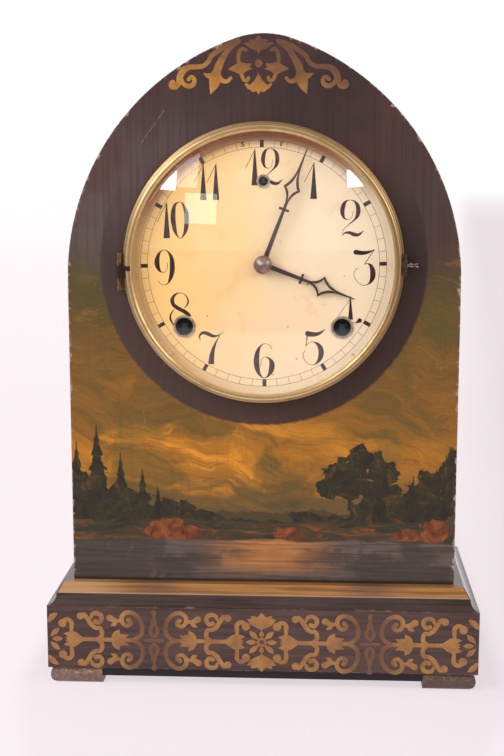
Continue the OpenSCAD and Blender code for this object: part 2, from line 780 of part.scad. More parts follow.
// A hand pointing up: tapered shaft, crossbar, open lozenge with hollow sides, long tip
module hand(length, bar_at, open_at, wide_at, close_at, half_w, hub_r) {
    rail = 1.2;
    side = concat(
        bend([0.7, open_at], [0.9, (open_at + wide_at) / 2 + 1.5], [half_w, wide_at], 6),
        bend([half_w, wide_at], [1.2, (wide_at + close_at) / 2 - 1.5], [0.7, close_at], 6)
    );
    inner = concat(
        bend([0, open_at + 2.5], [0.2, (open_at + wide_at) / 2 + 2.5], [half_w - rail * 1.5, wide_at], 6),
        bend([half_w - rail * 1.5, wide_at], [0.2, (wide_at + close_at) / 2 - 2.5], [0, close_at - 2.5], 6)
    );
    circle(hub_r, $fn = round_n);
    polygon([[-1.5, 0], [1.5, 0], [0.8, open_at + 0.5], [-0.8, open_at + 0.5]]);
    translate([-3, bar_at - 0.7]) square([6, 1.4]);
    difference() {
        polygon(both_sides(side));
        polygon(both_sides(inner));
    }
    polygon([[-0.75, close_at - 0.5], [0.75, close_at - 0.5], [0.25, length], [-0.25, length]]);
}
module hour_hand() {
    y1 = dial_y0 - hour_hand_h;
    color(blued) difference() {
        union() {
            slab_at(centre_at, y1 - hand_t, y1) rotate(-hour_at)
                hand(hour_l, hour_l * 0.418, hour_l * 0.486, hour_l * 0.634, hour_l * 0.828, 6.2, 5);
            bar(centre_at, 4.2, y1 - 0.1, y1 + 0.7);
        }
        bar(centre_at, hour_pipe_r + 0.03, y1 - 5, y1 + 5);
    }
}
module minute_hand() {
    y1 = dial_y0 - minute_hand_h;
    color(blued) difference() {
        union() {
            slab_at(centre_at, y1 - hand_t, y1) rotate(-minute_at)
                hand(minute_l, minute_l * 0.477, minute_l * 0.516, minute_l * 0.654,
                    minute_l * 0.83, 5.1, 4.2);
            bar(centre_at, 3, y1 - 0.1, y1 + 0.5);
        }
        bar(centre_at, centre_tip_r + 0.03, y1 - 5, y1 + 5);
    }
}
module hand_nut() {
    y1 = dial_y0 - minute_hand_h - hand_t;
    dome_r = (nut_r * nut_r + 9) / 6;
    color(blued) difference() {
        union() {
            bar(centre_at, nut_r, y1 - 1.6, y1);
            intersection() {
                translate([0, y1 - 1.5 + dome_r - 3, dial_z]) sphere(dome_r, $fn = 96);
                bar(centre_at, nut_r, y1 - 6, y1 - 1.5);
            }
        }
        bar(centre_at, centre_tip_r, y1 - 2.6, y1 + 1);
    }
}

// Movement frame

module plate_outline() {
    corner = 6;
    difference() {
        translate([-plate_w / 2, -plate_bottom]) square([plate_w, plate_bottom + plate_top]);
        for (sx = [-1, 1]) translate([sx * plate_w / 2, -plate_bottom]) rotate(45)
            square(corner * 4, center = true);
        for (w = windows) translate([w[0], w[1]]) circle(w[2], $fn = round_n);
    }
}
module front_plate() {
    ear_w = 12;
    color(brass) {
        difference() {
            union() {
                slab_at(centre_at, plate_y0, plate_y1) plate_outline();
                slab_at(centre_at, plate_y0, plate_y1) for (s = [-1, 1])
                    translate([s * ear_x - ear_w / 2, -plate_bottom - ear_down - ear_w / 2])
                        square([ear_w, ear_down + ear_w]);
            }
            for (p = between_plates) bar(p, pivot_r + run_gap, plate_y0 - 1, plate_y1 + 1);
            bar(verge_at, pivot_r + run_gap, plate_y0 - 1, plate_y1 + 1);
            bar(centre_at, centre_r + run_gap, plate_y0 - 1, plate_y1 + 1);
            for (p = [time_at, strike_at]) bar(p, wind_r + run_gap, plate_y0 - 1, plate_y1 + 1);
            bar(regulator_at, regulator_r + run_gap, plate_y0 - 1, plate_y1 + 1);
            for (p = pillars_at) bar(p, pillar_pin_r, plate_y0 - 1, plate_y1 + 1);
            for (p = fixings_at) bar(p, screw_r + fit_gap, plate_y0 - 1, plate_y1 + 1);
        }
        bar(minute_wheel_at, stud_r, plate_y0 - 6.2, plate_y0 + 0.1);
    }
}
module back_plate() {
    color(brass) difference() {
        slab_at(centre_at, rear_y0, rear_y1) plate_outline();
        for (p = between_plates) bar(p, pivot_r + run_gap, rear_y0 - 1, rear_y1 + 1);
        bar(verge_at, 3, rear_y0 - 1, rear_y1 + 1);
        bar(centre_at, pivot_r + run_gap, rear_y0 - 1, rear_y1 + 1);
        for (p = [time_at, strike_at]) bar(p, wind_rear_r + run_gap, rear_y0 - 1, rear_y1 + 1);
        bar(regulator_at, regulator_r + run_gap, rear_y0 - 1, rear_y1 + 1);
        for (p = pillars_at) bar(p, pillar_pin_r, rear_y0 - 1, rear_y1 + 1);
    }
}
module plate_pillars() {
    color(brass) for (p = pillars_at) {
        bar(p, pillar_r, plate_y1, rear_y0);
        bar(p, pillar_pin_r, plate_y0 - 0.1, plate_y1);
        bar(p, pillar_pin_r, rear_y0, rear_y1 + 2.2);
        difference() {
            bar(p, 3.2, rear_y1, rear_y1 + 1.8);
            bar(p, pillar_pin_r, rear_y1 - 1, rear_y1 + 3);
        }
    }
}
module movement_screws() {
    color(steel) for (p = fixings_at) {
        bar(p, screw_r, board_y1 - screw_l, plate_y1 + 0.1);
        bar(p, 3.4, plate_y1, plate_y1 + 1.8);
        difference() {
            bar(p, 3.6, board_y1, plate_y0);
            bar(p, screw_r, board_y1 - 1, plate_y0 + 1);
        }
    }
}

// Winding, mainsprings and great wheels

module ratchet_outline(hand_of) {
    polygon([for (i = [0:ratchet_teeth - 1], k = [0, 1])
        polar([0, 0], ratchet_r - k * 1.2, hand_of * (i + k * 0.12) * 360 / ratchet_teeth)]);
}
// The great wheel turns loosely on its winding arbor, and carries the click's rivet hole
module great_wheel(p, gap, click_angle) {
    color(brass) difference() {
        wheel(p, great_teeth, great_mod, gap, plane(0), great_t, 5, 36 + click_angle - gap);
        bar(p, wind_r + run_gap, plane(0) - 1, plane(0) + great_t + 1);
        bar(polar(p, click_from, click_angle), click_rivet_r + run_gap,
            plane(0) - 1, plane(0) + great_t + 1);
    }
}
module winding_arbor(p, hand_of) {
    color(steel) {
        translate([p[0] - wind_square / 2, dial_y0 - 0.5, dial_z + p[1] - wind_square / 2])
            cube([wind_square, plate_y0 - 1 - dial_y0 + 0.6, wind_square]);
        bar(p, wind_r, plate_y0 - 1, ratchet_y + ratchet_t + 0.2);
        bar(p, wind_core_r, ratchet_y + ratchet_t, rear_y0 - 6.4);
        bar(p, wind_rear_r, rear_y0 - 6.5, rear_y1 + 0.3);
    }
    color(brass) slab_at(p, ratchet_y, ratchet_y + ratchet_t) ratchet_outline(hand_of);
}
// The click rocks on its rivet; its nose stops just outside the ratchet's tips
module click(p, angle, hand_of) {
    from = polar(p, click_from, angle);
    nose = polar(p, ratchet_r + 0.45, angle - hand_of * 55);
    color(steel) {
        slab_at(centre_at, ratchet_y, ratchet_y + ratchet_t) difference() {
            union() {
                translate(from) circle(2.4, $fn = round_n);
                strap(from, nose + (nose - p) / norm(nose - p) * 1.1, 2);
                translate(nose + (nose - p) / norm(nose - p) * 1.1) circle(1, $fn = round_n);
            }
            translate(p) circle(ratchet_r + 0.3, $fn = round_n);
        }
        bar(from, click_rivet_r, plane(0) - 0.3, ratchet_y + ratchet_t + 0.4);
    }
}
// A wound mainspring; its tail runs up to a pillar and hooks round it
module time_mainspring() {
    strip = 0.5;
    post = pillars_at[1];
    loop_r = pillar_r + 0.05;
    color(steel) slab_at(centre_at, spring_y, spring_y + spring_w) {
        translate(time_at) spiral(wind_core_r + 0.9, spring_r, spring_turns, strip, 24, 0);
        polygon([
            time_at + [spring_r - strip / 2, -strip], time_at + [spring_r + strip / 2, -strip],
            post + [loop_r + strip, 0], post + [loop_r, 0]
        ]);
        translate(post) difference() {
            circle(loop_r + strip, $fn = round_n);
            circle(loop_r, $fn = round_n);
        }
    }
}
// The strike's mainspring is wound and placed the other way round
module strike_mainspring() { mirror([1, 0, 0]) time_mainspring(); }
module time_great_wheel() { great_wheel(time_at, heading(time_at, second_at), time_click_angle); }
module time_winding_arbor() { winding_arbor(time_at, 1); }
module time_click() { click(time_at, time_click_angle, 1); }
module strike_great_wheel() { great_wheel(strike_at, heading(strike_at, lift_at), strike_click_angle); }
module strike_winding_arbor() { winding_arbor(strike_at, -1); }
module strike_click() { click(strike_at, strike_click_angle, -1); }

// Going train

module time_second_wheel() {
    color(brass) difference() {
        wheel(second_at, second_teeth, second_mod, heading(second_at, centre_at), plane(2), wheel_t);
        bar(second_at, arbor_r - 0.2, plane(2) - 1, plane(2) + 3);
    }
    color(steel) {
        lantern(second_at, second_pinion, great_mod, heading(second_at, time_at), plane(0), great_t);
        arbor(second_at);
    }
}
// The centre arbor carries a wheel, a pinion, the lifting cam and the cannon pinion
module centre_wheel() {
    color(brass) {
        wheel(centre_at, centre_teeth, centre_mod, heading(centre_at, fourth_at), plane(1), wheel_t);
        slab_at(centre_at, plane(0), plane(0) + wheel_t) intersection() {
            circle(lift_cam_r, $fn = round_n);
            square([2 * lift_cam_r, 5], center = true);
        }
        slab_at(centre_at, plate_y0 - 2.9, plate_y0 - 0.5) toothed(cannon_teeth, cannon_mod,
            heading(centre_at, minute_wheel_at) + 180 / cannon_teeth);
    }
    color(steel) {
        lantern(centre_at, centre_pinion, second_mod, heading(centre_at, second_at), plane(2), wheel_t);
        bar(centre_at, centre_r, dial_y0 - minute_hand_h + 0.8, rear_y0 - 0.2);
        bar(centre_at, centre_tip_r, dial_y0 - minute_hand_h - hand_t - 2.4, dial_y0);
        bar(centre_at, pivot_r, rear_y0 - 0.5, rear_y1 - 0.1);
    }
}
module fourth_wheel() {
    color(brass)
        wheel(fourth_at, fourth_teeth, fourth_mod, heading(fourth_at, escape_at), plane(5), wheel_t);
    color(steel) {
        lantern(fourth_at, fourth_pinion, centre_mod, heading(fourth_at, centre_at), plane(1), wheel_t);
        arbor(fourth_at);
    }
}
module escape_wheel() {
    root_r = escape_r - 1.5;
    color(brass) slab_at(escape_at, plane(6), plane(6) + wheel_t) difference() {
        polygon([for (i = [0:escape_teeth - 1], k = [0, 1])
            polar([0, 0], k == 0 ? escape_r : root_r, (i + k * 0.3) * 360 / escape_teeth)]);
        crossing(3.2, root_r - 1.6, 4, 1.4, 0);
    }
    color(steel) {
        lantern(escape_at, escape_pinion, fourth_mod, heading(escape_at, fourth_at), plane(5), wheel_t);
        arbor(escape_at, 1);
    }
}
// The verge: pallets over the escape wheel, an arbor, and the crutch with its fork
module verge() {
    pallets = [for (s = [-1, 1]) polar(escape_at, escape_r + pallet_gap + 1, 90 + s * span_angle)];
    y0 = plane(6);
    crutch_y = rear_y1 + 3.6;
    color(steel) {
        slab_at(centre_at, y0, y0 + wheel_t) difference() {
            union() {
                translate(verge_at) circle(2.2, $fn = round_n);
                for (q = pallets) {
                    strap(verge_at, q, 2);
                    translate(q) circle(1, $fn = round_n);
                }
            }
            translate(escape_at) circle(escape_r + pallet_gap, $fn = round_n);
        }
        bar(verge_at, 0.9, plate_y1 + 0.2, cock_y0 - 0.2);
        bar(verge_at, pivot_r, plate_y0 + 0.1, cock_y0 + cock_t);
        bar(verge_at, 2.2, crutch_y, crutch_y + 1.4);
        translate([-0.6, crutch_y, dial_z + fork_up - 0.6]) cube([1.2, 1.2, verge_at[1] - fork_up]);
        translate([-2.4, crutch_y, dial_z + fork_up - 0.6]) cube([4.8, 1.2, 1.2]);
        for (s = [-1, 1]) translate([s * 1.8 - 0.6, crutch_y, dial_z + fork_up - 0.6])
            cube([1.2, rod_y - crutch_y + 2.4, 1.2]);
    }
}

// Motion work

module minute_wheel() {
    toward = heading(minute_wheel_at, centre_at);
    color(brass) difference() {
        union() {
            slab_at(minute_wheel_at, plate_y0 - 2.4, plate_y0 - 1.2)
                toothed(minute_teeth, cannon_mod, toward);
            slab_at(minute_wheel_at, plate_y0 - 5.6, plate_y0 - 2.4)
                toothed(minute_pinion, hour_mod, toward + 180 / minute_pinion);
        }
        bar(minute_wheel_at, stud_r + run_gap, plate_y0 - 7, plate_y0);
    }
}
module hour_wheel() {
    y0 = plate_y0 - 5.2;
    color(brass) difference() {
        union() {
            slab_at(centre_at, y0, y0 + 1) toothed(hour_teeth, hour_mod,
                heading(centre_at, minute_wheel_at));
            bar(centre_at, hour_pipe_r, dial_y0 - hour_hand_h - hand_t - 0.1, y0 + 0.5);
        }
        bar(centre_at, centre_r + run_gap, dial_y0 - 10, y0 + 5);
    }
}

// Regulator, suspension and pendulum

module regulator_arbor() {
    color(steel) {
        bar(regulator_at, regulator_r, dial_y0 + 4, rear_y1 + 0.8);
        translate([-1.1, dial_y0 - 0.3, dial_z + regulator_up - 1.1]) cube([2.2, 4.5, 2.2]);
    }
    color(brass) slab_at(regulator_at, rear_y1 + 0.7, rear_y1 + 3) toothed(rack_n,
        2 * rack_r / rack_n, 180 / rack_n);
}
// The slide grips the suspension spring, and a rack beside the pinion raises it
module regulator_slide() {
    mod = 2 * rack_r / rack_n;
    pitch = PI * mod;
    half_h = 5;
    x1 = -rack_r - tooth_ded * mod;
    color(brass) {
        translate([x1 - 3, rear_y1 + 0.7, dial_z + regulator_up - half_h]) cube([3, 2.3, 2 * half_h]);
        slab_at(regulator_at, rear_y1 + 0.7, rear_y1 + 3) for (i = [-3:2])
            translate([-rack_r, (i + 0.5) * pitch]) polygon([
                [-tooth_ded * mod - 0.05, -tooth_root * pitch / 2], [0, -tooth_pitch * pitch / 2],
                [tooth_add * mod, -tooth_tip * pitch / 2], [tooth_add * mod, tooth_tip * pitch / 2],
                [0, tooth_pitch * pitch / 2], [-tooth_ded * mod - 0.05, tooth_root * pitch / 2]
            ]);
        translate([x1 - 3, rear_y1 + 2.9, dial_z + slide_z0])
            cube([3, rod_y + 3.4 - rear_y1 - 2.9, slide_h]);
        difference() {
            translate([x1 - 0.1, rod_y - 3.4, dial_z + slide_z0]) cube([3 - x1, 6.8, slide_h]);
            translate([-0.4, rod_y - 2.9, dial_z + slide_z0 - 1]) cube([0.8, 5.8, slide_h + 2]);
        }
    }
}
// A bridge for the verge's rear pivot, and a stud that the suspension spring hangs from
module suspension_cock() {
    foot_x = 14;
    color(brass) difference() {
        union() {
            for (s = [-1, 1]) bar([s * foot_x, verge_at[1] - 2.2], 2.4, rear_y1, cock_y0 + 0.1);
            translate([-foot_x - 2.4, cock_y0, dial_z + verge_at[1] - 4.4])
                cube([2 * foot_x + 4.8, cock_t, 5.9]);
            bar([0, stud_up], 2.6, rear_y1, rod_y + 3.6);
        }
        bar(verge_at, pivot_r + run_gap, cock_y0 - 1, cock_y0 + cock_t + 1);
        translate([-0.15, rod_y - 2.6, dial_z + stud_up - 4]) cube([0.3, 5.2, 5]);
    }
}
module suspension_spring() {
    below = 6;
    color(steel) translate([-0.1, rod_y - 2.5, dial_z + pendulum_up - below])
        cube([0.2, 5, stud_up + 0.95 - pendulum_up + below]);
}
module pendulum_rod() {
    clip_h = 5.2;
    clip_z1 = dial_z + pendulum_up - 2.1;
    rod_z0 = bob_z - bob_r - 4;
    nut_z1 = bob_z - bob_r + 0.4;
    color(steel) {
        difference() {
            translate([-2.2, rod_y - 3.2, clip_z1 - clip_h]) cube([4.4, 6.4, clip_h]);
            translate([-0.75, rod_y - 2.8, clip_z1 - clip_h + 0.9]) cube([1.5, 5.6, clip_h]);
        }
        translate([0, rod_y, rod_z0])
            cylinder(r = rod_r, h = clip_z1 - clip_h + 0.2 - rod_z0, $fn = 32);
        translate([0, rod_y, nut_z1 - 3]) cylinder(r = 2.2, h = 3, $fn = round_n);
    }
}
module pendulum_bob() {
    lens_r = (bob_r * bob_r + bob_t * bob_t / 4) / bob_t;
    color(brass) difference() {
        intersection() {
            translate([0, rod_y - bob_t / 2 + lens_r, bob_z]) sphere(lens_r, $fn = 128);
            translate([0, rod_y + bob_t / 2 - lens_r, bob_z]) sphere(lens_r, $fn = 128);
            translate([0, rod_y - bob_t, bob_z]) rotate([-90, 0, 0])
                cylinder(r = bob_r - 0.4, h = 2 * bob_t, $fn = 96);
        }
        translate([0, rod_y, bob_z - bob_r - 1]) cylinder(r = rod_r + 0.02, h = 2 * bob_r + 2, $fn = 32);
    }
}

// Strike train

module strike_second_wheel() {
    color(brass) {
        wheel(lift_at, lift_teeth, lift_mod, heading(lift_at, cam_at), plane(3), wheel_t);
        for (i = [0:lift_pins - 1])
            bar(polar(lift_at, lift_pin_ring, 8 + i * 360 / lift_pins), 0.7, plane(3) + 1, plane(3) + 3.2);
    }
    color(steel) {
        lantern(lift_at, second_pinion, great_mod, heading(lift_at, strike_at), plane(0), great_t);
        arbor(lift_at);
    }
}
module cam_wheel() {
    color(brass) {
        wheel(cam_at, cam_teeth, cam_mod, heading(cam_at, warn_at), plane(4), wheel_t);
        slab_at(cam_at, plane(6), plane(6) + wheel_t) difference() {
            circle(cam_r, $fn = round_n);
            rotate(120) translate([cam_r - 1.2, -1.5]) square([3, 3]);
        }
        slab_at(cam_at, plane(7), plane(7) + wheel_t) {
            circle(2.2, $fn = round_n);
            strap([0, 0], polar([0, 0], 3.6, 100), 1.6);
        }
    }
    color(steel) {
        lantern(cam_at, cam_pinion, lift_mod, heading(cam_at, lift_at), plane(3), wheel_t);
        arbor(cam_at, 0.75);
    }
}
module warning_wheel() {
    color(brass) {
        wheel(warn_at, warn_teeth, warn_mod, heading(warn_at, fly_at), plane(5), wheel_t);
        bar(polar(warn_at, 8.5, 60), 0.5, plane(5) + 1, plane(5) + 3);
    }
    color(steel) {
        lantern(warn_at, warn_pinion, cam_mod, heading(warn_at, cam_at), plane(4), wheel_t);
        arbor(warn_at, 1);
    }
}
module fly() {
    fly_r = 9.5;
    color(brass) {
        slab_at(fly_at, plane(5) - 15, plane(5) - 3) rotate(25)
            square([2 * fly_r, 0.5], center = true);
        bar(fly_at, 1.6, plane(5) - 15, plane(5) - 3);
    }
    color(steel) {
        lantern(fly_at, fly_pinion, warn_mod, heading(fly_at, warn_at), plane(5), wheel_t);
        arbor(fly_at, 0.9);
    }
}
// Blows from one to twelve, each hour followed by a half-hour blow, then a deep slot
function slots_before(n) = n < 1 ? 0 : n * (n + 1) / 2 + n;
module count_wheel() {
    color(brass) difference() {
        slab_at(strike_at, plane(7), plane(7) + wheel_t) difference() {
            polygon([for (i = [0:count_teeth - 1], k = [0, 1])
                polar([0, 0], k == 0 ? count_r : count_r - 1, (i + k * 0.2) * 360 / count_teeth)]);
            for (h = [1:12]) rotate(82 + slots_before(h) * 360 / count_teeth)
                translate([count_r - 3.2, -0.9]) square([5, 1.8]);
            crossing(6, count_r - 7, 5, 3, 10);
        }
        bar(strike_at, wind_rear_r + run_gap, plane(7) - 1, plane(7) + 3);
    }
}
// One arm hangs over the count wheel, the other over the cam
module count_lever() {
    tip = polar(strike_at, count_r + 0.5 + 0.9, 84);
    cam_tip = cam_at + [0, cam_r + 0.3 + 0.9];
    color(steel) {
        slab_at(centre_at, plane(7), plane(7) + 1) {
            strap(counter_at, tip, 1.8);
            translate(counter_at) circle(2, $fn = round_n);
        }
        slab_at(centre_at, plane(6), plane(6) + 1) {
            strap(counter_at, cam_tip, 1.8);
            translate(counter_at) circle(2, $fn = round_n);
        }
        arbor(counter_at);
    }
}
// One arm leans on the lifting cam, the other stops the warning wheel's pin
module lifting_lever() {
    cam_tip = polar(centre_at, lift_cam_r + 1.2, 180);
    side_tip = lifter_at + [-9, -3.5];
    color(steel) {
        slab_at(centre_at, plane(0), plane(0) + 1) {
            strap(lifter_at, cam_tip, 1.6);
            translate(lifter_at) circle(2, $fn = round_n);
        }
        slab_at(centre_at, plane(5) + 1.6, plane(5) + 2.6) {
            strap(lifter_at, side_tip, 1.6);
            translate(lifter_at) circle(2, $fn = round_n);
        }
        arbor(lifter_at);
    }
}

// Hammer and gong

module hammer() {
    strike_x = gong_x - gong_r - gong_strip / 2;
    head_x = strike_x - 1.5 - hammer_l / 2;
    head = [head_x, gong_z - dial_z];
    tail = polar(lift_at, lift_pin_ring + 1.5, heading(lift_at, hammer_at) - 6);
    stem_y = gong_y + 1.5;
    color(steel) {
        slab_at(centre_at, stem_y - 0.8, stem_y + 0.8) strap(hammer_at, head, 1.6);
        slab_at(centre_at, plane(3) + 1.6, plane(3) + 2.8) strap(hammer_at, tail, 1.6);
        bar(hammer_at, 2.2, plane(3) + 1.6, stem_y + 1.2);
        arbor(hammer_at);
    }
    color(brass) translate([head_x - hammer_l / 2, stem_y, gong_z]) rotate([0, 90, 0])
        cylinder(r = hammer_r, h = hammer_l, $fn = round_n);
}
module gong_coil() {
    color(blued) slab(gong_y, gong_y + 3) translate([gong_x, gong_z])
        spiral(6, gong_r, gong_turns, gong_strip, 24, 180);
}
module gong_stand() {
    foot_w = 30;
    foot_d = 26;
    color(steel) {
        translate([gong_x - foot_w / 2, gong_y - 9, base_z1]) cube([foot_w, foot_d, 4]);
        translate([gong_x - 4, gong_y + 4, base_z1]) cube([8, 5, gong_up + 5]);
        translate([gong_x, gong_y + 4.5, gong_z]) rotate([90, 0, 0])
            cylinder(r = 5.15, h = 6, $fn = round_n);
    }
}

front_board();
case_shell();
back_board();
back_door();
door_hinge_leaves();
door_leaves_fixed();
door_button();
base_top();
base_front_rail();
base_side_rails();
base_back_rail();
base_bottom();
feet();
dial_plate();
dial_fittings();
bezel_rim();
bezel_glass();
glass_ring();
bezel_hinge_leaf();
case_hinge_leaf();
bezel_hinge_pin();
bezel_knob();
hour_hand();
minute_hand();
hand_nut();
front_plate();
back_plate();
plate_pillars();
movement_screws();
time_great_wheel();
time_winding_arbor();
time_click();
time_mainspring();
time_second_wheel();
centre_wheel();
fourth_wheel();
escape_wheel();
verge();
suspension_cock();
minute_wheel();
hour_wheel();
regulator_arbor();
regulator_slide();
suspension_spring();
pendulum_rod();
pendulum_bob();
strike_great_wheel();
strike_winding_arbor();
strike_click();
strike_mainspring();
strike_second_wheel();
cam_wheel();
warning_wheel();
fly();
count_wheel();
count_lever();
lifting_lever();
hammer();
gong_coil();
gong_stand();
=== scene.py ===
"""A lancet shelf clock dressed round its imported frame: painted front, stencils, dial, bezel and works."""

import math

import bpy
import numpy as np
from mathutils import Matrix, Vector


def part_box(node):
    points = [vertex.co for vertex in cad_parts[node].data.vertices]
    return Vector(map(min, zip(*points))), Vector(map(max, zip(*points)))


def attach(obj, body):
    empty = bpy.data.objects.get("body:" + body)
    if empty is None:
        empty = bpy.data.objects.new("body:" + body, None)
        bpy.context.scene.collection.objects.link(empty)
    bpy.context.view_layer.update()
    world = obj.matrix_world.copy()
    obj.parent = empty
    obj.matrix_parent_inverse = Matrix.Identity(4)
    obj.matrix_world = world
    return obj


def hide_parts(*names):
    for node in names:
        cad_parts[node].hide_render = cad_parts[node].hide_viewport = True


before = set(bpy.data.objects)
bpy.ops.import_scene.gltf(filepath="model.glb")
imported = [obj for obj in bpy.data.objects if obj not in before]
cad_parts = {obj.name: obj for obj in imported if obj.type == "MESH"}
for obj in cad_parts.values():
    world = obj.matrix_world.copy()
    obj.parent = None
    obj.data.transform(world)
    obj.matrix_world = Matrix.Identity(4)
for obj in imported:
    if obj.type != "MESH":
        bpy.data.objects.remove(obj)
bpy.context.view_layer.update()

bl_info = {
    "name": "Lancet shelf clock",
    "version": (1, 0, 0),
    "blender": (4, 5, 0),
    "location": "View3D > Sidebar > Clock",
    "description": "Finishes and detail for a shelf clock with a painted front and a striking movement",
    "category": "Object",
}

MM = 0.001


def box_mm(node):
    """Lowest and highest corner of a CAD node, in millimetres."""
    low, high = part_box(node)
    return np.array(low) / MM, np.array(high) / MM


FRONT_LOW, FRONT_HIGH = box_mm("front_board")
CASE_FRONT = FRONT_LOW[1]
CASE_HALF = FRONT_HIGH[0]
BASE_TOP_Z = FRONT_LOW[2]
RAIL_LOW, RAIL_HIGH = box_mm("base_front_rail")
RAIL_FRONT = RAIL_LOW[1]
BASE_HALF = RAIL_HIGH[0]
GLASS_LOW, GLASS_HIGH = box_mm("bezel_glass")
DIAL_Z = (GLASS_LOW[2] + GLASS_HIGH[2]) / 2
GLASS_RADIUS = (GLASS_HIGH[0] - GLASS_LOW[0]) / 2
DIAL_FACE = box_mm("dial_plate")[0][1]
# The case's arch: each side is an arc about a point this far past the middle, from this height up
ARC_OUT = 30.55
SPRING_Z = 239.8
# Places of the base where hands have rubbed the gilt, each side of the middle
HANDLED_X = 63.5


# Numbers into meshes


def smooth_path(points, samples=10, closed=False):
    """Catmull-Rom curve: between two rows it is the cubic whose end slopes are half the neighbours' step."""
    rows = np.asarray(points, float)
    if closed:
        before, start, end, after = np.roll(rows, 1, 0), rows, np.roll(rows, -1, 0), np.roll(rows, -2, 0)
    else:
        padded = np.vstack([2 * rows[0] - rows[1], rows, 2 * rows[-1] - rows[-2]])
        before, start, end, after = padded[:-3], padded[1:-2], padded[2:-1], padded[3:]
    t = np.linspace(0, 1, samples, endpoint=False)[:, None, None]
    curve = 0.5 * (
        2 * start
        + (end - before) * t
        + (2 * before - 5 * start + 4 * end - after) * t**2
        + (3 * start - before - 3 * end + after) * t**3
    )
    curve = curve.transpose(1, 0, 2).reshape(-1, rows.shape[1])
    return curve if closed else np.vstack([curve, rows[-1]])


def grid_faces(rows, columns, round_rows=False, round_columns=True):
    """Quads joining the neighbours of a grid of points that lie row after row."""
    down = np.arange(rows if round_rows else rows - 1)[:, None]
    across = np.arange(columns if round_columns else columns - 1)[None, :]
    below, beside = (down + 1) % rows, (across + 1) % columns
    corners = [
        down * columns + across, down * columns + beside, below * columns + beside,
        below * columns + across,
    ]
    return np.stack(np.broadcast_arrays(*corners), -1).reshape(-1, 4)


def facing_out(points, faces):
    """The faces turned round if the volume they enclose, a sum of tetrahedra to the origin, is negative."""
    corner = points[faces]
    first = np.einsum("ij,ij->i", corner[:, 0], np.cross(corner[:, 1], corner[:, 2]))
    second = np.einsum("ij,ij->i", corner[:, 0], np.cross(corner[:, 2], corner[:, 3]))
    return faces if (first + second).sum() > 0 else faces[:, ::-1]


def stroke(points, face, rise, closed=False, square=False, clear=(), samples=10):
    """Paint or ink on the upright plane y = face: a smooth path of x, z and width carries a low trapezium.

    An open path ends in half circles: past each end the width falls as a cosine while the path runs on
    as a sine. It stops short of the circles in clear, which are rows of x, z and radius."""
    path = smooth_path(points, samples, closed)
    path[:, 2] = np.clip(path[:, 2], 0.12, None)
    if not closed and not square:
        angle = np.linspace(90, 0, 5)[:-1] * math.pi / 180
        heads = []
        for end, inner in ((0, 1), (-1, -2)):
            along = path[end, :2] - path[inner, :2]
            along = along / np.linalg.norm(along)
            half = path[end, 2] / 2
            cap = np.empty((len(angle), 3))
            cap[:, :2] = path[end, :2] + along * (half * np.sin(angle))[:, None]
            cap[:, 2] = np.clip(2 * half * np.cos(angle), 0.05, None)
            heads.append(cap)
        path = np.vstack([heads[0], path, heads[1][::-1]])
    runs = [path]
    if len(clear):
        apart = np.linalg.norm(path[:, None, :2] - np.asarray(clear)[None, :, :2], axis=2)
        kept = (apart > np.asarray(clear)[None, :, 2] + path[:, 2:] / 2).all(1)
        runs = [run for run in np.split(path, np.flatnonzero(np.diff(kept)) + 1) if len(run) > 2]
        runs = [run for run in runs if kept[(path == run[1]).all(1).argmax()]]
    return [carried(run, face, rise, closed and len(runs) == 1 and len(run) == len(path)) for run in runs]


def carried(path, face, rise, closed):
    """A trapezium, wide at the plane and narrower above it, set square to each point of a path."""
    if closed:
        tangent = np.roll(path[:, :2], -1, 0) - np.roll(path[:, :2], 1, 0)
    else:
        tangent = np.gradient(path[:, :2], axis=0)
    tangent /= np.linalg.norm(tangent, axis=1)[:, None] + 1e-9
    across = np.stack([-tangent[:, 1], tangent[:, 0]], 1)
    side = np.array([-1, -0.86, 0.86, 1])
    height = np.array([-0.02, rise, rise, -0.02])
    flat = path[:, None, :2] + across[:, None] * side[None, :, None] * path[:, None, 2:] / 2
    points = np.empty((len(path), 4, 3))
    points[:, :, 0], points[:, :, 2] = flat[:, :, 0], flat[:, :, 1]
    points[:, :, 1] = face - height
    points = points.reshape(-1, 3)
    faces = grid_faces(len(path), 4, round_rows=closed)
    if not closed:
        last = 4 * (len(path) - 1)
        faces = np.vstack([faces, [[3, 2, 1, 0]], [[last, last + 1, last + 2, last + 3]]])
    return points, facing_out(points, faces)


def revolve(profile, steps=192, pole=False):
    """A profile of radius and height turned about the dial's axis: x = r sin a, z = r cos a, y = -height.

    With a pole, the profile starts and ends on the axis and is closed there by one point."""
    profile = np.asarray(profile, float)
    angle = np.arange(steps) * 2 * math.pi / steps
    ring = profile[1:-1] if pole else profile
    points = np.empty((len(ring), steps, 3))
    points[:, :, 0] = ring[:, :1] * np.sin(angle)
    points[:, :, 1] = -ring[:, 1:]
    points[:, :, 2] = ring[:, :1] * np.cos(angle)
    points = points.reshape(-1, 3)
    faces = grid_faces(len(ring), steps, round_rows=not pole)
    faces = facing_out(points, faces) if not pole else faces
    if not pole:
        return points + [0, 0, DIAL_Z], faces
    here = np.arange(steps)
    beside = (here + 1) % steps
    last = (len(ring) - 1) * steps
    first_pole, last_pole = len(points), len(points) + 1
    points = np.vstack([points, [0, -profile[0, 1], 0], [0, -profile[-1, 1], 0]])
    caps = np.stack([np.full(steps, first_pole), np.full(steps, first_pole), beside, here], 1)
    foot = np.stack([np.full(steps, last_pole), np.full(steps, last_pole), last + here, last + beside], 1)
    faces = facing_out(points, np.vstack([faces, caps, foot]))
    return points + [0, 0, DIAL_Z], faces


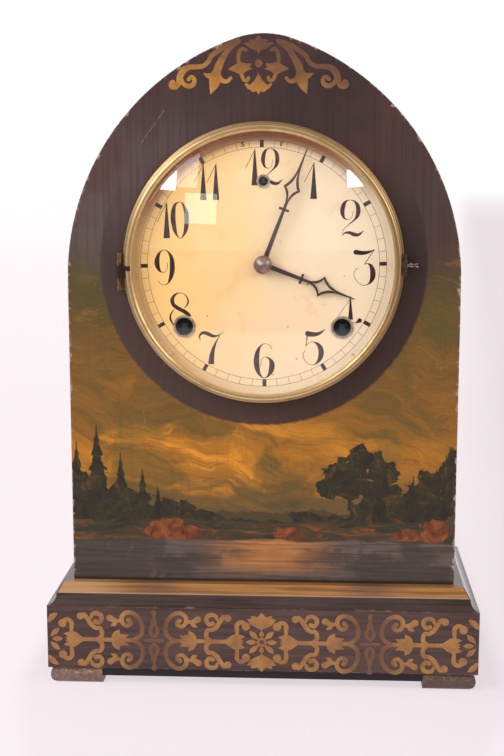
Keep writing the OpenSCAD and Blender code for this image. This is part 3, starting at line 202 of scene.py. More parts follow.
def make_piece(name, parts, body, finish, stands_for=(), smooth=False):
    """One mesh of all the parts, each of them points in millimetres with its faces, riding on a body."""
    counts = np.cumsum([0] + [len(points) for points, _ in parts])
    points = np.vstack([part[0] for part in parts]) * MM
    faces = np.vstack([part[1] + start for part, start in zip(parts, counts)])
    corners = [[int(a) for a in dict.fromkeys(face)] for face in faces.tolist()]
    mesh = bpy.data.meshes.new(name)
    mesh.from_pydata(points, [], corners)
    mesh.update()
    mesh.validate()
    if smooth:
        mesh.shade_smooth()
    mesh.materials.append(finish.material)
    piece = bpy.data.objects.new(name, mesh)
    bpy.context.scene.collection.objects.link(piece)
    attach(piece, body)
    if stands_for:
        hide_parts(*stands_for)
    return piece


# Finishes


def linear(red, green, blue):
    """Linear colour of one given in 0..255: c / 12.92 below 0.04045, else ((c + 0.055) / 1.055) ** 2.4."""
    c = np.array([red, green, blue]) / 255
    return (*(float(v) for v in np.where(c <= 0.04045, c / 12.92, ((c + 0.055) / 1.055) ** 2.4)), 1)


def worked(operation, swapped=False):
    """An operator of Value: it adds a Math node, or a Vector Math node to what isn't one number."""

    def method(self, other=0):
        kind = "Math" if self.socket.type == "VALUE" else "VectorMath"
        pair = (other, self) if swapped else (self, other)
        return self.wires.add(kind, *pair, operation=operation)[0]

    return method


class Value:
    """What a socket carries, for arithmetic."""

    __array_ufunc__ = None
    __add__, __radd__ = worked("ADD"), worked("ADD", True)
    __sub__, __rsub__ = worked("SUBTRACT"), worked("SUBTRACT", True)
    __truediv__, __rtruediv__ = worked("DIVIDE"), worked("DIVIDE", True)
    __mul__, __abs__ = worked("MULTIPLY"), worked("ABSOLUTE")

    def __init__(self, wires, socket):
        self.wires, self.socket = wires, socket


class Wires:
    """Short ways to add nodes to a tree; what feeds a socket is a value, a number, a colour or a vector."""

    def __init__(self, tree):
        self.tree = tree

    def feed(self, socket, value):
        if isinstance(value, Value):
            self.tree.links.new(value.socket, socket)
        else:
            socket.default_value = value

    def values(self, sockets):
        """Sockets as values, by number and by name."""
        values = [Value(self, socket) for socket in sockets]
        return {**dict(enumerate(values)), **{value.socket.name: value for value in values}}

    def node(self, kind, *values, sockets=None, **settings):
        """A new node, with its first sockets fed in order and others by name."""
        node = self.tree.nodes.new("ShaderNode" + kind)
        for key, value in settings.items():
            setattr(node, key, value)
        for socket, value in zip(node.inputs, values):
            self.feed(socket, value)
        for key, value in (sockets or {}).items():
            self.feed(node.inputs[key.replace("_", " ")], value)
        return node

    def add(self, kind, *values, sockets=None, **settings):
        """What a new node gives."""
        return self.values(self.node(kind, *values, sockets=sockets, **settings).outputs)

    def group(self, name, **sockets):
        """What a shared group gives."""
        return self.add("Group", sockets=sockets, node_tree=GROUPS[name])

    def most(self, first, second):
        return self.add("Math", first, second, operation="MAXIMUM")[0]

    def least(self, first, second):
        return self.add("Math", first, second, operation="MINIMUM")[0]

    def measure(self, operation, first, second=(0, 0, 0)):
        """Length, distance or dot product of vectors."""
        return self.add("VectorMath", first, second, operation=operation)["Value"]

    def join(self, *parts):
        return self.add("CombineXYZ", *parts)[0]

    def split(self, vector):
        parts = self.add("SeparateXYZ", vector)
        return parts[0], parts[1], parts[2]

    def blend(self, share, first, second):
        """Two colours mixed; one of three numbers is given in 0..255."""
        node = self.node("Mix", share, data_type="RGBA")
        for index, colour in ((6, first), (7, second)):
            plain = isinstance(colour, tuple) and len(colour) == 3
            self.feed(node.inputs[index], linear(*colour) if plain else colour)
        return Value(self, node.outputs[2])

    def step(self, value, low, high, to_low=0, to_high=1):
        """Smooth step of a value from low to high."""
        return self.add("MapRange", value, low, high, to_low, to_high, interpolation_type="SMOOTHSTEP")[0]

    def over(self, base, colour, value, low, high, most=1):
        """A colour laid over another where a value passes from low to high."""
        return self.blend(self.step(value, low, high, 0, most), base, colour)

    def ramp(self, value, *stops):
        """A colour by a value, from stops of a place and a colour in 0..255."""
        node = self.node("ValToRGB", value)
        elements = node.color_ramp.elements
        while len(elements) < len(stops):
            elements.new(0.5)
        for element, (place, colour) in zip(elements, stops):
            element.position, element.color = place, linear(*colour)
        return Value(self, node.outputs[0])

    def noise(self, vector, scale=1, detail=4, rough=0.5, twist=0):
        sockets = {"Vector": vector, "Scale": scale, "Detail": detail}
        sockets |= {"Roughness": rough, "Distortion": twist}
        return self.add("TexNoise", sockets=sockets)[0]

    def place(self):
        """Object coordinates in millimetres."""
        return self.add("TexCoord")["Object"] * (1000, 1000, 1000)

    def off_axis(self):
        """Distance from the dial's axis in millimetres."""
        return self.measure("DISTANCE", self.place() * (1, 0, 1), (0, 0, DIAL_Z))

    def worn_edge(self, radius, amount):
        return self.group("edge wear", Radius=radius, Amount=amount)["Mask"]


def emptied(owner):
    """The wires of a material's or a world's tree, with nothing in it."""
    owner.use_nodes = True
    owner.node_tree.nodes.clear()
    return Wires(owner.node_tree)


class Finish(Wires):
    """A material with one Principled shader, whose plain numbers are set on its own sockets."""

    def __init__(self, name, **plain):
        self.material = bpy.data.materials.new(name)
        super().__init__(emptied(self.material).tree)
        self.shader = self.node("BsdfPrincipled")
        self.add("OutputMaterial", Value(self, self.shader.outputs[0]))
        self.set(**plain)

    def set(self, **sockets):
        for key, value in sockets.items():
            self.feed(self.shader.inputs[key.replace("_", " ")], value)

    def bump(self, height, strength=0.2, distance=0.0002):
        sockets = {"Strength": strength, "Distance": distance, "Height": height}
        self.set(Normal=self.add("Bump", sockets=sockets)[0])


GROUPS = {}


def node_group(name, inputs, *outputs):
    """An empty shader group: its wires, what it is given and where its results go.

    An input is a number, a vector or a colour as its default is; an output is a number unless it is
    called Color."""
    tree = GROUPS[name] = bpy.data.node_groups.new(name, "ShaderNodeTree")
    for label, value in inputs.items():
        kind = {1: "Float", 3: "Vector", 4: "Color"}[np.size(value)]
        socket = tree.interface.new_socket(label, in_out="INPUT", socket_type="NodeSocket" + kind)
        socket.default_value = value
    for label in outputs:
        kind = "Color" if label == "Color" else "Float"
        tree.interface.new_socket(label, in_out="OUTPUT", socket_type="NodeSocket" + kind)
    wires = Wires(tree)
    start, end = tree.nodes.new("NodeGroupInput"), tree.nodes.new("NodeGroupOutput")
    return wires, wires.values(start.outputs), end.inputs


def build_groups():
    """The effects that several finishes share."""
    w, given, out = node_group("edge wear", {"Radius": 0.0012, "Amount": 0.5, "Patch size": 8}, "Mask")
    # One less the cosine between the true normal and the one rounded over the radius, broken up by noise
    rounded = w.add("Bevel", given["Radius"], samples=6)[0]
    turned = w.measure("DOT_PRODUCT", rounded, w.add("NewGeometry")["Normal"])
    edge = w.step(1 - turned, 0.02, 0.2)
    patches = w.noise(w.place(), 1 / given["Patch size"], 6, 0.65)
    threshold = 1 - given["Amount"]
    w.feed(out["Mask"], edge * w.step(patches, threshold, threshold + 0.12))

    sockets = {"Along": (1, 1, 0.04), "Size": 1.2, "Twist": 0.6}
    w, given, out = node_group("wood grain", sockets, "Streaks", "Pores", "Clouds")
    # Noise squeezed across the grain gives streaks, finer noise its pores, and coarse noise slow clouds
    at = w.place() * given["Along"]
    w.feed(out["Streaks"], w.noise(at, 0.35 / given["Size"], 6, 0.6, given["Twist"]))
    w.feed(out["Pores"], w.noise(at, 2.6 / given["Size"], 2, 0.6))
    w.feed(out["Clouds"], w.noise(w.place(), 0.018, 3, 0.55))

    sockets = {"Bright": (1, 1, 1, 1), "Dull": (0, 0, 0, 1), "Spot size": 6, "Amount": 0.45}
    w, given, out = node_group("tarnish", sockets, "Color", "Mask", "Fine")
    # Two sizes of noise, added and cut by a smooth step, place the dull colour over the bright one
    coarse = w.noise(w.place(), 1 / given["Spot size"], 6, 0.62, 0.4)
    fine = w.noise(w.place(), 9 / given["Spot size"], 4, 0.6)
    both = coarse * 0.75 + fine * 0.25
    threshold = 0.95 - given["Amount"]
    mask = w.step(both, threshold - 0.14, threshold + 0.1)
    w.feed(out["Mask"], mask)
    w.feed(out["Fine"], fine)
    w.feed(out["Color"], w.blend(mask, given["Bright"], given["Dull"]))

    sockets = {"Place": (0, 0, 0), "From": (0, 0, 0), "Along": (1, 0, 0), "Mask": 0}
    w, given, out = node_group("scratch", sockets, "Mask")
    # Distance to a line from one point along another, where the share of the way is kept within 0 and 1
    away = given["Place"] - given["From"]
    along = given["Along"]
    share = w.add("Clamp", w.measure("DOT_PRODUCT", away, along) / w.measure("DOT_PRODUCT", along, along))[0]
    nearest = w.add("VectorMath", along, operation="SCALE", sockets={"Scale": share})[0]
    gap = w.measure("DISTANCE", away, nearest)
    w.feed(out["Mask"], w.most(w.step(gap, 0.3, 0.1), given["Mask"]))

    sockets = {"Place": (0, 0, 0), "Centre": (0, 0, 0), "Half size": (1, 1, 1), "Near": 9}
    w, given, out = node_group("tree crown", sockets, "Near")
    # Distance from the crown's centre in units of its half size; the nearest crown so far is kept
    apart = (given["Place"] - given["Centre"]) / given["Half size"]
    w.feed(out["Near"], w.least(w.measure("LENGTH", apart), given["Near"]))

    sockets = {"Place": (0, 0, 0), "Foot": (0, 0, 0), "Height": 30, "Spread": 6, "Near": 9}
    w, given, out = node_group("fir tree", sockets, "Near")
    # Across the trunk, distance over the half width left at that height, which swings out at each whorl
    x, _, z = w.split(given["Place"] - given["Foot"])
    up = z / given["Height"]
    whorl = w.add("Math", up * 7, operation="FRACT")[0]
    left = (1 - up) * (1.15 - whorl * 0.45)
    half = w.most(left * given["Spread"], 0.35)
    over = w.most(up - 1, 0) * 40
    across = abs(x) / half + over
    w.feed(out["Near"], w.least(across, given["Near"]))


# Crowns of the painted trees: x, z, half width, half height; firs: x, foot, height, spread
CROWNS = [
    (47, 128, 11, 9), (59, 134, 12, 10), (70, 127, 10, 9), (40, 118, 8, 7), (66, 117, 13, 9),
    (53, 119, 12, 8), (59, 104, 2.2, 14), (76, 116, 7, 6), (102, 108, 13, 9), (110, 118, 9, 8),
    (92, 99, 11, 7), (26, 99, 10, 5), (-36, 99, 13, 5), (-52, 104, 12, 7), (-12, 96, 12, 3.5), (8, 96, 10, 3),
    (-112, 106, 16, 22), (40, 97, 12, 5), (-92, 104, 15, 18), (-74, 104, 12, 13), (84, 106, 15, 10),
    (98, 116, 14, 13), (112, 128, 9, 14), (66, 104, 16, 10),
]
# Scratches in the paint: x, z and the way along them
SCRATCHES = [
    (-69, 318, 13, 18), (-62, 196, 4, 6), (-58, 190, 3, 3), (-66, 206, 2, 5), (102, 190, 4, 1),
    (-70, 164, 1, -8),
]
# Low red shrubs on the bank, as the crowns
SHRUBS = [(-58, 92, 13, 7.5), (-44, 90, 8, 5), (16, 90, 9, 4), (101, 93, 9, 7), (84, 90, 8, 4)]
FIRS = [
    (-98, 92, 62, 11), (-84, 90, 48, 9), (-110, 92, 52, 10), (-71, 92, 36, 7.5), (-62, 92, 26, 6),
    (88, 92, 34, 6),
]


def build_holes():
    """How far a place is outside the nearest of the dial's holes, in millimetres, seen from the front."""
    w, given, out = node_group("dial holes", {"Place": (0, 0, 0)}, "Outside")
    flat = given["Place"] * (1, 0, 1)
    outside = 99
    for x, z, radius in DIAL_HOLES:
        apart = w.measure("DISTANCE", flat, (x, 0, z + DIAL_Z))
        outside = w.least(outside, apart - radius)
    w.feed(out["Outside"], outside)


def crowns(wires, place, rows):
    """How near a place is to the nearest of several crowns, 1 at its edge."""
    near = 9
    for x, z, half_x, half_z in rows:
        sockets = {"Place": place, "Centre": (x, 0, z), "Half_size": (half_x, 1, half_z), "Near": near}
        near = wires.group("tree crown", **sockets)[0]
    return near


def build_grove():
    """All the painted trees as one group: how near a place is to the nearest of them, 1 at its edge."""
    w, given, out = node_group("grove", {"Place": (0, 0, 0)}, "Near")
    flat = given["Place"] * (1, 0, 1)
    near = crowns(w, flat, CROWNS)
    for x, foot, height, spread in FIRS:
        near = w.group("fir tree", Place=flat, Foot=(x, 0, foot), Height=height, Spread=spread, Near=near)[0]
    w.feed(out["Near"], near)


# Height of the painted water, and radius of the dark ring round the dial
WATER_Z = 86
RING_RADIUS = 93.7


def colour_of(name):
    """A colour chosen in the panel, as a shader colour."""
    return (*getattr(bpy.context.scene.clock_colours, name), 1)


def painted_front():
    """The landscape at dusk under a dark head that runs into the ring round the dial, with worn edges."""
    f = Finish("painted_front", Specular_IOR_Level=0.2)
    at = f.place()
    x, y, z = f.split(at)
    flat = at * (1, 0, 1)
    drift = f.add("TexNoise", sockets={"Vector": flat, "Scale": 0.022, "Detail": 3})[1]
    drift = (drift - (0.5, 0.5, 0.5)) * (70, 0, 34)
    tilt = f.join(0, 0, x * 0.2)
    swept = flat + drift + tilt
    # Sky: a ramp by height, bent by the drift, with level streaks of gold, brown and olive
    height = z + f.split(drift)[2] * 0.5
    sky = f.ramp(
        f.add("MapRange", height, 60, 300, 0, 1)[0],
        (0, (96, 70, 50)), (0.19, (112, 84, 50)), (0.235, (134, 96, 50)),
        (0.27, (170, 113, 43)), (0.33, (182, 119, 40)), (0.385, (154, 104, 40)),
        (0.46, (142, 97, 42)), (0.56, (130, 93, 42)), (0.64, (114, 86, 43)),
        (0.72, (92, 78, 46)), (0.84, (82, 72, 50)), (1, (80, 64, 56)),
    )
    dusk = (swept - (-24, 0, 134)) * (0.0105, 0, 0.03)
    lit = f.step(f.measure("LENGTH", dusk), 1.5, 0.3)
    cloud = f.noise(swept * (0.014, 1, 0.055), 1, 7, 0.62, 0.35)
    streak = f.noise(swept * (0.026, 1, 0.13), 1, 7, 0.7, 0.5)
    brush = f.noise(swept * (0.14, 1, 0.8), 1, 5, 0.66, 0.4)
    gold = f.step(cloud + brush * 0.18, 0.57, 0.7) * (lit * 0.95)
    sky = f.blend(gold, sky, (232, 152, 46))
    sky = f.blend(f.step(streak, 0.5, 0.38) * 0.5, sky, (104, 78, 42))
    sky = f.blend(f.step(streak, 0.54, 0.68) * 0.4, sky, (176, 122, 56))
    green = f.noise(swept * (0.02, 1, 0.03), 1, 4, 0.6, 0.8)
    sky = f.blend(f.step(green, 0.46, 0.62) * 0.55, sky, (92, 84, 44))
    sky = f.over(sky, (74, 58, 38), brush, 0.4, 0.66, 0.24)
    # Far hills, trees and bank
    ridge = f.noise(flat * (0.018, 1, 0), 1, 3, 0.5)
    far = 96 + ridge * 32
    hill_colour = f.ramp(streak, (0.3, (88, 74, 48)), (0.5, (110, 86, 50)), (0.7, (134, 100, 54)))
    scene = f.over(sky, hill_colour, z, far + 3, far - 2, 0.92)
    near_hill = 94 + f.noise(flat * (0.05, 1, 0), 1, 6, 0.6) * 18
    scene = f.over(scene, (78, 64, 46), z, near_hill + 1.2, near_hill, 0.85)
    lobes = f.noise(flat, 0.13, 2, 0.5, 0.3)
    leaf = f.noise(flat, 0.4, 5, 0.7, 0.4)
    rough = (lobes - 0.5) * 1.5 + (leaf - 0.5) * 0.7
    near = f.group("grove", Place=flat)[0] + rough
    trees = f.step(near, 1.02, 0.94) * f.most(f.step(leaf, 0.66, 0.6), f.step(near, 0.85, 0.6))
    tone = f.noise(flat, 0.11, 6, 0.7, 0.8)
    tree_colour = f.ramp(
        tone,
        (0.32, (46, 39, 34)), (0.46, (56, 47, 38)), (0.55, (58, 58, 38)),
        (0.62, (88, 60, 38)), (0.72, (128, 84, 44)),
    )
    scene = f.blend(trees, scene, tree_colour)
    uneven = f.noise(flat * (0.03, 1, 0.2), 1, 5, 0.6)
    bank = f.step(z + (uneven - 0.5) * 14, 99, 96)
    bank_colour = f.ramp(
        f.noise(flat * (0.04, 1, 0.2), 1, 6, 0.68, 0.7),
        (0.34, (54, 44, 38)), (0.46, (64, 62, 46)), (0.56, (84, 64, 46)), (0.68, (126, 84, 52)),
    )
    scene = f.blend(bank, scene, bank_colour)
    shrub = f.noise(flat * (0.045, 1, 0.13), 1, 5, 0.6, 0.5)
    spots = f.step(shrub, 0.58, 0.63) * (f.step(z, 86, 89) * f.step(z, 98, 93))
    spots = f.most(spots, f.step(crowns(f, flat, SHRUBS) + rough, 1.04, 0.9))
    red = f.ramp(tone, (0.38, (88, 50, 34)), (0.5, (126, 68, 40)), (0.64, (164, 92, 50)))
    scene = f.blend(spots * 0.9, scene, red)
    # Water: the grove upside down, a glow, and level ripples
    ripple = f.noise(flat * (0.025, 1, 0.7), 1, 4, 0.6, 0.3)
    mirrored = f.join(x + (ripple - 0.5) * 12, 0, 2 * WATER_Z + 2 - (z + (ripple - 0.5) * 9))
    glow = f.step(abs(x - 4), 50, 4) * f.step(z, 62, 74)
    glow = glow * f.step(ripple, 0.32, 0.56, 0.35, 1)
    water = f.over((84, 72, 66), (106, 92, 85), ripple, 0.4, 0.6)
    water = f.blend(glow, water, (190, 126, 70))
    upside = f.step(f.group("grove", Place=mirrored)[0] + rough, 1.3, 0.6)
    weak = 0.6 - glow * 0.4
    water = f.blend(upside * weak, water, (62, 54, 48))
    scene = f.over(scene, water, z + (uneven - 0.5) * 8, WATER_Z + 0.8, WATER_Z - 0.8)
    # Dark head: it sinks lower in the middle and is one with the ring round the dial; head and ring carry
    # painted light, lighter towards the left and less so at the top
    radius = f.off_axis()
    wobble = (f.noise(flat, 0.05, 4, 0.6) - 0.5) * 22
    fade = z + wobble - abs(x) * 0.42
    grain = f.group("wood grain", Along=(1, 1, 0.03), Size=0.8, Twist=0.1)
    # painted light: the head lighter towards the left, and darker near the top
    painted_haze = f.step(x * -0.5 - z * 0.14, -84, 6)
    painted_haze = f.most(painted_haze * f.step(z, 356, 300, 0.2, 1), f.step(x, 40, 110, 0, 0.4))
    head_colour = f.blend(painted_haze, (64, 48, 46), (99, 83, 82))
    head_colour = f.over(head_colour, (88, 58, 54), grain["Clouds"], 0.46, 0.62, 0.6)
    head_colour = f.over(head_colour, (50, 38, 38), grain["Streaks"], 0.42, 0.66, 0.3)
    scene = f.over(scene, head_colour, fade, 190, 226)
    rim = (f.noise(flat, 0.3, 3, 0.5) - 0.5) * 1.8
    ring = f.step(radius + rim, RING_RADIUS + 0.9, RING_RADIUS - 0.9) * f.step(z, 312, 250)
    # painted light: the ring lighter towards the left
    ring_colour = f.over((58, 43, 41), (78, 61, 59), x, 60, -92)
    ring_colour = f.over(ring_colour, (74, 50, 48), grain["Streaks"], 0.42, 0.66, 0.35)
    scene = f.blend(ring * 0.95, scene, ring_colour)
    # Fine upright cracks, a few long scratches, and the edge, found from the distance to the arch's centre
    lines = f.noise(flat * (1.7, 1, 0.012), 1, 2, 0.5)
    scene = f.over(scene, (44, 34, 30), lines, 0.58, 0.7, 0.16)
    marks = 0
    for start_x, start_z, way_x, way_z in SCRATCHES:
        sockets = {"Place": flat, "From": (start_x, 0, start_z), "Along": (way_x, 0, way_z)}
        marks = f.group("scratch", Mask=marks, **sockets)[0]
    broken = f.step(f.noise(flat, 0.35, 4, 0.7), 0.42, 0.58, 0.08, 0.45)
    scene = f.blend(marks * broken, scene, (176, 158, 140))
    from_arc = f.join(abs(x) + ARC_OUT, 0, f.most(z - SPRING_Z, 0))
    inside = CASE_HALF + ARC_OUT - f.measure("LENGTH", from_arc)
    chip = f.noise(flat, 0.22, 6, 0.7)
    edge = f.step(inside + (0.6 - chip) * 6, 1.3, 0.2)
    scene = f.blend(edge * 0.8, scene, (58, 38, 34))
    bare = f.step(inside + (0.57 - chip) * 12, 1.3, 0.3, 0, 0.8)
    scene = f.blend(bare, scene, (188, 160, 142))
    # painted shade along the board's foot, where it meets the base's top
    scene = f.over(scene, (44, 34, 31), z, BASE_TOP_Z + 2.4, BASE_TOP_Z + 0.8, 0.8)
    # Round the board's edge the paint gives way to the case's lacquer
    side = f.over(colour_of("lacquer_dark"), colour_of("lacquer_light"), grain["Streaks"], 0.4, 0.62)
    scene = f.over(scene, side, y, CASE_FRONT + 0.2, CASE_FRONT + 0.7)
    f.set(Base_Color=scene, Roughness=f.step(tone + lines * 0.4, 0.3, 1, 0.42, 0.62))
    f.bump(brush * 0.5 + lines * 0.5, 0.2, 0.0003)
    return f


# Grain along the base, and the dark and light of the stain at the base's ends
ALONG_X = (0.04, 1, 1)
END_STAIN = (44, 32, 33), (66, 51, 52)


def lacquered_wood(name, along, dark, light, wear, worn=(150, 126, 108)):
    """Dark stained and lacquered wood: streaked grain along one direction, and pale worn edges."""
    f = Finish(name, Roughness=0.42, Specular_IOR_Level=0.3, Coat_Weight=0.06, Coat_Roughness=0.25)
    grain = f.group("wood grain", Along=along, Size=1.1)
    both = grain["Streaks"] * 0.65 + grain["Clouds"] * 0.35
    colour = f.over(dark, light, both, 0.38, 0.62)
    colour = f.blend(f.step(grain["Pores"], 0.58, 0.7) * 0.35, colour, (30, 22, 20))
    edge = f.worn_edge(0.0012, wear)
    colour = f.colour = f.blend(edge * 0.85, colour, worn)
    f.set(Base_Color=colour, Roughness=f.step(both, 0.3, 0.7, 0.33, 0.5))
    f.bump(grain["Streaks"] - grain["Pores"] * 0.5, 0.2)
    return f


def raw_wood(name, along):
    """Plain pine gone brown: wide soft grain, fine pores, and a dark stain at the base's ends."""
    f = Finish(name, Roughness=0.7)
    grain = f.group("wood grain", Along=along, Size=2.4, Twist=1.2)
    colour = f.ramp(
        grain["Streaks"], (0.3, (104, 74, 48)), (0.5, (142, 104, 68)), (0.7, (166, 126, 86))
    )
    colour = f.over(colour, (96, 78, 62), grain["Clouds"], 0.45, 0.7, 0.4)
    edge = f.worn_edge(0.001, 0.5)
    colour = f.blend(edge * 0.5, colour, (70, 50, 36))
    ends = f.step(abs(f.split(f.place())[0]), BASE_HALF - 0.5, BASE_HALF - 0.1)
    stain = f.blend(f.step(grain["Streaks"], 0.4, 0.6), *END_STAIN)
    f.set(Base_Color=f.blend(ends, colour, stain))
    f.bump(grain["Streaks"] + grain["Pores"], 0.35)
    return f


def moulded_top():
    """The base's top board: lacquer, with bronze on the front bevel between its two mitres."""
    f = lacquered_wood("moulded_top", ALONG_X, (56, 42, 37), (80, 62, 56), 0.44)
    at = f.place()
    x, y, z = f.split(at)
    beside = BASE_HALF + RAIL_FRONT - (abs(x) + y)
    fore = f.step(y, -53, -54.6) * f.step(beside, 0.2, 0.8)
    band = f.step(z, 54.75, 55.1) * f.step(z, BASE_TOP_Z + 0.3, BASE_TOP_Z - 0.1)
    rubbed = f.noise(at * (0.014, 1, 0.05), 1, 5, 0.55, 0.3)
    gilt = f.over((136, 90, 48), (178, 124, 66), rubbed, 0.34, 0.62)
    handled = abs(abs(x) - HANDLED_X)
    thin = f.step(handled + rubbed * 20, 34, 12) * 0.55
    gilt = f.blend(thin, gilt, (96, 70, 62))
    gilt = f.over(gilt, (210, 164, 120), x, -78, -106, 0.5)
    # a pale line along the gilt band's lower edge: partly worn gilt, partly painted highlight
    gilt = f.over(gilt, (206, 172, 138), z, 55.9, 55.2, 0.5)
    f.set(Coat_Weight=f.step(0.6 - beside, 0, 0.6, 0.06, 0.8))
    f.set(Coat_Roughness=0.15, Coat_Tint=(1, 0.93, 0.95, 1))
    gilded = fore * band * f.step(rubbed, 0.2, 0.3)
    f.set(Base_Color=f.blend(gilded, f.colour, gilt))
    return f


def bronzed_feet():
    """Rounded feet: brown bronze paint with gold flecks along the top, darker to the right."""
    f = Finish("bronzed_feet", Roughness=0.5, Metallic=0.1, Specular_IOR_Level=0.3)
    at = f.place()
    x, _, z = f.split(at)
    rubbed = f.noise(at, 0.3, 6, 0.7)
    colour = f.over((120, 95, 86), (150, 122, 110), rubbed, 0.38, 0.64)
    fleck = f.noise(at * (0.35, 0.35, 1.2), 1, 5, 0.75, 0.5)
    gilt = f.step(fleck, 0.52, 0.6) * (f.step(z, 5.6, 7.4) * f.step(z, 9.8, 9))
    colour = f.blend(gilt, colour, (214, 178, 128))
    edge = f.worn_edge(0.0008, 0.5)
    colour = f.blend(edge * 0.7, colour, (170, 138, 112))
    f.set(Base_Color=f.over(colour, (62, 48, 46), x, -40, 60, 0.6))
    f.bump(rubbed + fleck, 0.3)
    return f


def stencil_gold():
    """Bronze powder over lacquer, patchy, and almost gone at the two places where the base was handled."""
    f = Finish("stencil_gold", Metallic=0.1, Roughness=0.5, Specular_IOR_Level=0.3)
    at = f.place()
    x, _, z = f.split(at)
    gold = f.noise(at, 0.1, 6, 0.66, 0.3)
    colour = f.ramp(
        gold, (0.32, (146, 96, 46)), (0.46, (182, 124, 54)), (0.6, (202, 144, 66)), (0.74, (214, 160, 86))
    )
    colour = f.over(colour, (138, 104, 84), z, 100, 60, 0.45)
    apart = abs(abs(x) - HANDLED_X)
    faded = f.step(apart + gold * 12, 27, 11) * f.step(z, 60, 50)
    high = f.step(z + x * 0.3, 338, 374, 0.1, 0.9) * f.step(z, 100, 200)
    speck = f.noise(at, 0.45, 6, 0.75)
    gone = f.most(f.step(speck, 0.58, 0.7, 0, 0.66), f.most(faded * 0.78, high))
    f.set(Base_Color=f.blend(gone, colour, (98, 68, 58)))
    return f


def dial_paper():
    """Cream dial: warm yellow at the upper left and round the six, pale at the right, foxed and specked, with
    painted shadow of the bezel over its margin at the left and top.
    """
    f = Finish("dial_paper", Roughness=0.6, Specular_IOR_Level=0.2)
    at = f.place()
    x, _, z = f.split(at)
    up = z - DIAL_Z
    cloud = f.noise(at, 0.02, 4, 0.55, 0.3)
    slope = x * 0.011 + up * -0.002
    pale = f.step(slope + (cloud - 0.5) * 0.9, -0.62, 0.35)
    colour = f.blend(pale, colour_of("dial_warm"), colour_of("dial_pale"))
    six = f.measure("LENGTH", f.join(x * 0.9, 0, up + 36))
    colour = f.over(colour, (244, 194, 138), six, 58, 10, 0.35)
    # Painted shadow of the bezel on the margin outside the track: tan towards the left, deep brown under the
    # top
    rim = f.off_axis()
    outside = f.step(rim, 70.4, 71.4)
    left = f.step(x / rim, 0.5, -0.9, 0, 0.34)
    colour = f.blend(outside * left, colour, (150, 104, 78))
    over = f.step((up - x * 0.15) / rim, 0.3, 0.95)
    colour = f.blend(f.step(rim, 66, 71.4) * (over * 0.9), colour, (158, 94, 50))
    colour = f.blend(f.step(rim, 70.2, 72.4) * over, colour, (156, 92, 54))
    spot = f.add("TexVoronoi", sockets={"Vector": at * (1, 0, 1), "Scale": 0.11})[0]
    sparse = f.step(f.noise(at, 0.035, 2), 0.5, 0.62)
    colour = f.blend(f.step(spot, 0.085, 0.05) * sparse, colour, (184, 132, 76))
    stain = f.noise(at, 0.05, 6, 0.66, 0.6)
    colour = f.over(colour, (232, 172, 98), stain, 0.56, 0.72, 0.32)
    f.set(Base_Color=colour)
    f.bump(f.noise(at, 1.2, 4, 0.6), 0.04)
    return f


def printing_ink():
    """Dial ink: warm black, rubbed thin here and there."""
    f = Finish("printing_ink", Roughness=0.6, Specular_IOR_Level=0.15)
    thin = f.noise(f.place(), 0.35, 5, 0.6)
    f.set(Base_Color=f.over(colour_of("ink"), (84, 66, 60), thin, 0.5, 0.72))
    return f


def ferrule_brass():
    """Rings in the dial, pale at the face, with painted shade making them black inside the holes; pins beyond
    the track carry the dial's paint.
    """
    f = Finish("ferrule_brass", Metallic=0.7)
    bright, dull = linear(206, 190, 172), linear(140, 116, 102)
    stain = f.group("tarnish", Bright=bright, Dull=dull, Spot_size=2.5, Amount=0.45)
    radius = f.off_axis()
    colour = f.over(stain["Color"], (206, 160, 118), radius, 65, 66)
    # painted shade: black and not metallic inside the dial's holes
    shade = f.step(f.group("dial holes", Place=f.place())[0], 0.3, 0.1)
    f.set(Base_Color=f.blend(shade, colour, (14, 11, 10)))
    f.set(Metallic=f.step(radius, 66, 65, 0, 0.7) * (1 - shade))
    f.set(Roughness=f.step(stain["Mask"], 0, 1, 0.28, 0.5))
    f.bump(stain["Fine"], 0.1, 0.0001)
    return f


def metal(
    name, bright, dull, amount=0.45, spot=6, rough=(0.22, 0.42), metallic=1, brushed=None, wear=0,
    rim_shade=None, shaded_behind_holes=0,
):
    """Bare metal: tarnish in two sizes of spot; if asked, brushing, bright edges, painted shade to the right
    and round the outer rim, or painted shade behind the dial's holes.
    """
    f = Finish(name, Metallic=metallic)
    stain = f.group("tarnish", Bright=linear(*bright), Dull=linear(*dull), Spot_size=spot, Amount=amount)
    colour, height = stain["Color"], stain["Fine"]
    if brushed:
        lines = f.noise(f.place() * brushed, 1, 4, 0.6)
        height = height * 0.4 + lines
        colour = f.over(colour, dull, lines, 0.4, 0.65, 0.25)
    if wear:
        edge = f.worn_edge(0.0005, wear)
        colour = f.blend(edge, colour, tuple(min(255, 1.2 * c + 20) for c in bright))
    # painted shade: near black and not metallic where the metal shows through the dial's holes
    if shaded_behind_holes:
        hole_shade = f.step(f.group("dial holes", Place=f.place())[0], 4, 0.5)
        colour = f.blend(hole_shade, colour, (18, 13, 10))
        f.set(Metallic=1 - hole_shade)
    # painted shade: darker towards the right and round the outer rim
    if rim_shade:
        radius, x = f.off_axis(), f.split(f.place())[0]
        outer = f.step(radius, 78.4, 79.6) * f.step(x, 90, -90, 0.75, 0.25)
        colour = f.blend(f.most(outer, f.step(x, 10, 74, 0, 0.45)), colour, rim_shade)
    f.set(Base_Color=colour)
    f.set(Roughness=f.step(stain["Mask"] + stain["Fine"] * 0.5, 0, 1.4, *rough))
    f.bump(height, 0.12, 0.0001)
    return f


def clear_glass():
    """Thin old glass, faintly wavy."""
    f = Finish("clear_glass", Metallic=0, Transmission_Weight=1, Roughness=0, IOR=1.45)
    f.set(Base_Color=linear(252, 253, 251))
    f.bump(f.noise(f.place(), 0.03, 2, 0.5), 0.02, 0.0003)
    return f


# Numerals, drawn from their middle: rows of x, z and width in millimetres, at a height of 20.5

